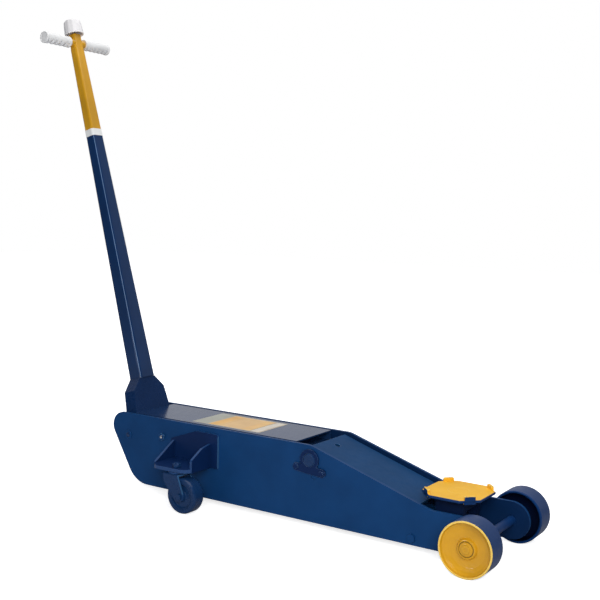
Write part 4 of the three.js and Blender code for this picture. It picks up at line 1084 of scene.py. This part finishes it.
def knob():
    bm = bmesh.new()
    around, flutes, depth = 96, 12, 0.030
    bmesh.ops.create_circle(bm, cap_ends=False, segments=around, radius=1.0)
    for vert in bm.verts:
        angle = math.atan2(vert.co.y, vert.co.x)
        flute = 1 - depth * (0.5 + 0.5 * math.cos(angle * flutes)) ** 2
        vert.co.x *= flute
        vert.co.y *= flute
    loop = bm.edges[:]
    outside = [(33, 1403), (33, 1407), (31.6, 1425), (29.6, 1443), (28.6, 1449), (26.5, 1452),
               (23, 1453), (12, 1453.0)]
    foot, foot_height = outside[0]
    bmesh.ops.scale(bm, vec=(foot * mm,) * 3, verts=bm.verts[:])
    moved(bm, 0, 0, foot_height * mm)
    for (before, _), (radius, height) in zip(outside, outside[1:]):
        loop = next_ring(bm, loop, radius / before, height)
    bmesh.ops.holes_fill(bm, edges=loop, sides=0)
    inside = [(foot, foot_height), (29, 1403), (27.5, 1404.5), (25, 1440), (24, 1445),
              (6.4, 1445), (6.4, 1449), (0.01, 1449)]
    loop = [e for e in bm.edges if len(e.link_faces) == 1]
    for (before, _), (radius, height) in zip(inside, inside[1:]):
        loop = next_ring(bm, loop, radius / before, height)
    bmesh.ops.remove_doubles(bm, verts=bm.verts[:], dist=2e-5)
    bmesh.ops.recalc_face_normals(bm, faces=bm.faces[:])
    return under(bm, handle_place)


piece("release_knob_finished", knob(), knob_white, "release_knob", smooth=40)


# %% [markdown]
# The pump's return spring is a coil between the pump block and the plunger's head. A Screw modifier
# could wind it, but a curve with a round bevel has closed ends. On the jack it is the one piece that
# changes length as the handle goes down; here it is made at one length. It stops a little short
# of the plunger's head, so that the two never cut each other.

# %% Pump spring
def coil():
    low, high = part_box("pump_spring")
    at = (low + high) / 2
    wire, room = 1.4, 0.8
    radius = (high.x - low.x) / 2 / mm - wire
    turns, per_turn = 6, 24
    rise = (high.z - low.z) / mm - 2 * wire - room
    curve = bpy.data.curves.new("coil", "CURVE")
    curve.dimensions = "3D"
    curve.bevel_depth = wire * mm
    curve.bevel_resolution = 3
    curve.use_fill_caps = True
    spline = curve.splines.new("POLY")
    count = turns * per_turn
    spline.points.add(count)
    for i in range(count + 1):
        angle = 2 * math.pi * i / per_turn
        spline.points[i].co = (
            radius * math.cos(angle) * mm, radius * math.sin(angle) * mm,
            (wire + rise * i / count) * mm, 1)
    obj = bpy.data.objects.new("coil", curve)
    bpy.context.scene.collection.objects.link(obj)
    mesh = obj.to_mesh()
    bm = bmesh.new()
    bm.from_mesh(mesh)
    obj.to_mesh_clear()
    bpy.data.objects.remove(obj)
    bmesh.ops.remove_doubles(bm, verts=bm.verts[:], dist=1e-6)
    bmesh.ops.recalc_face_normals(bm, faces=bm.faces[:])
    return moved(bm, at.x, at.y, low.z)


spring = piece("pump_spring_finished", coil(), bare_steel, "pump_spring", smooth=60)
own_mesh(spring)
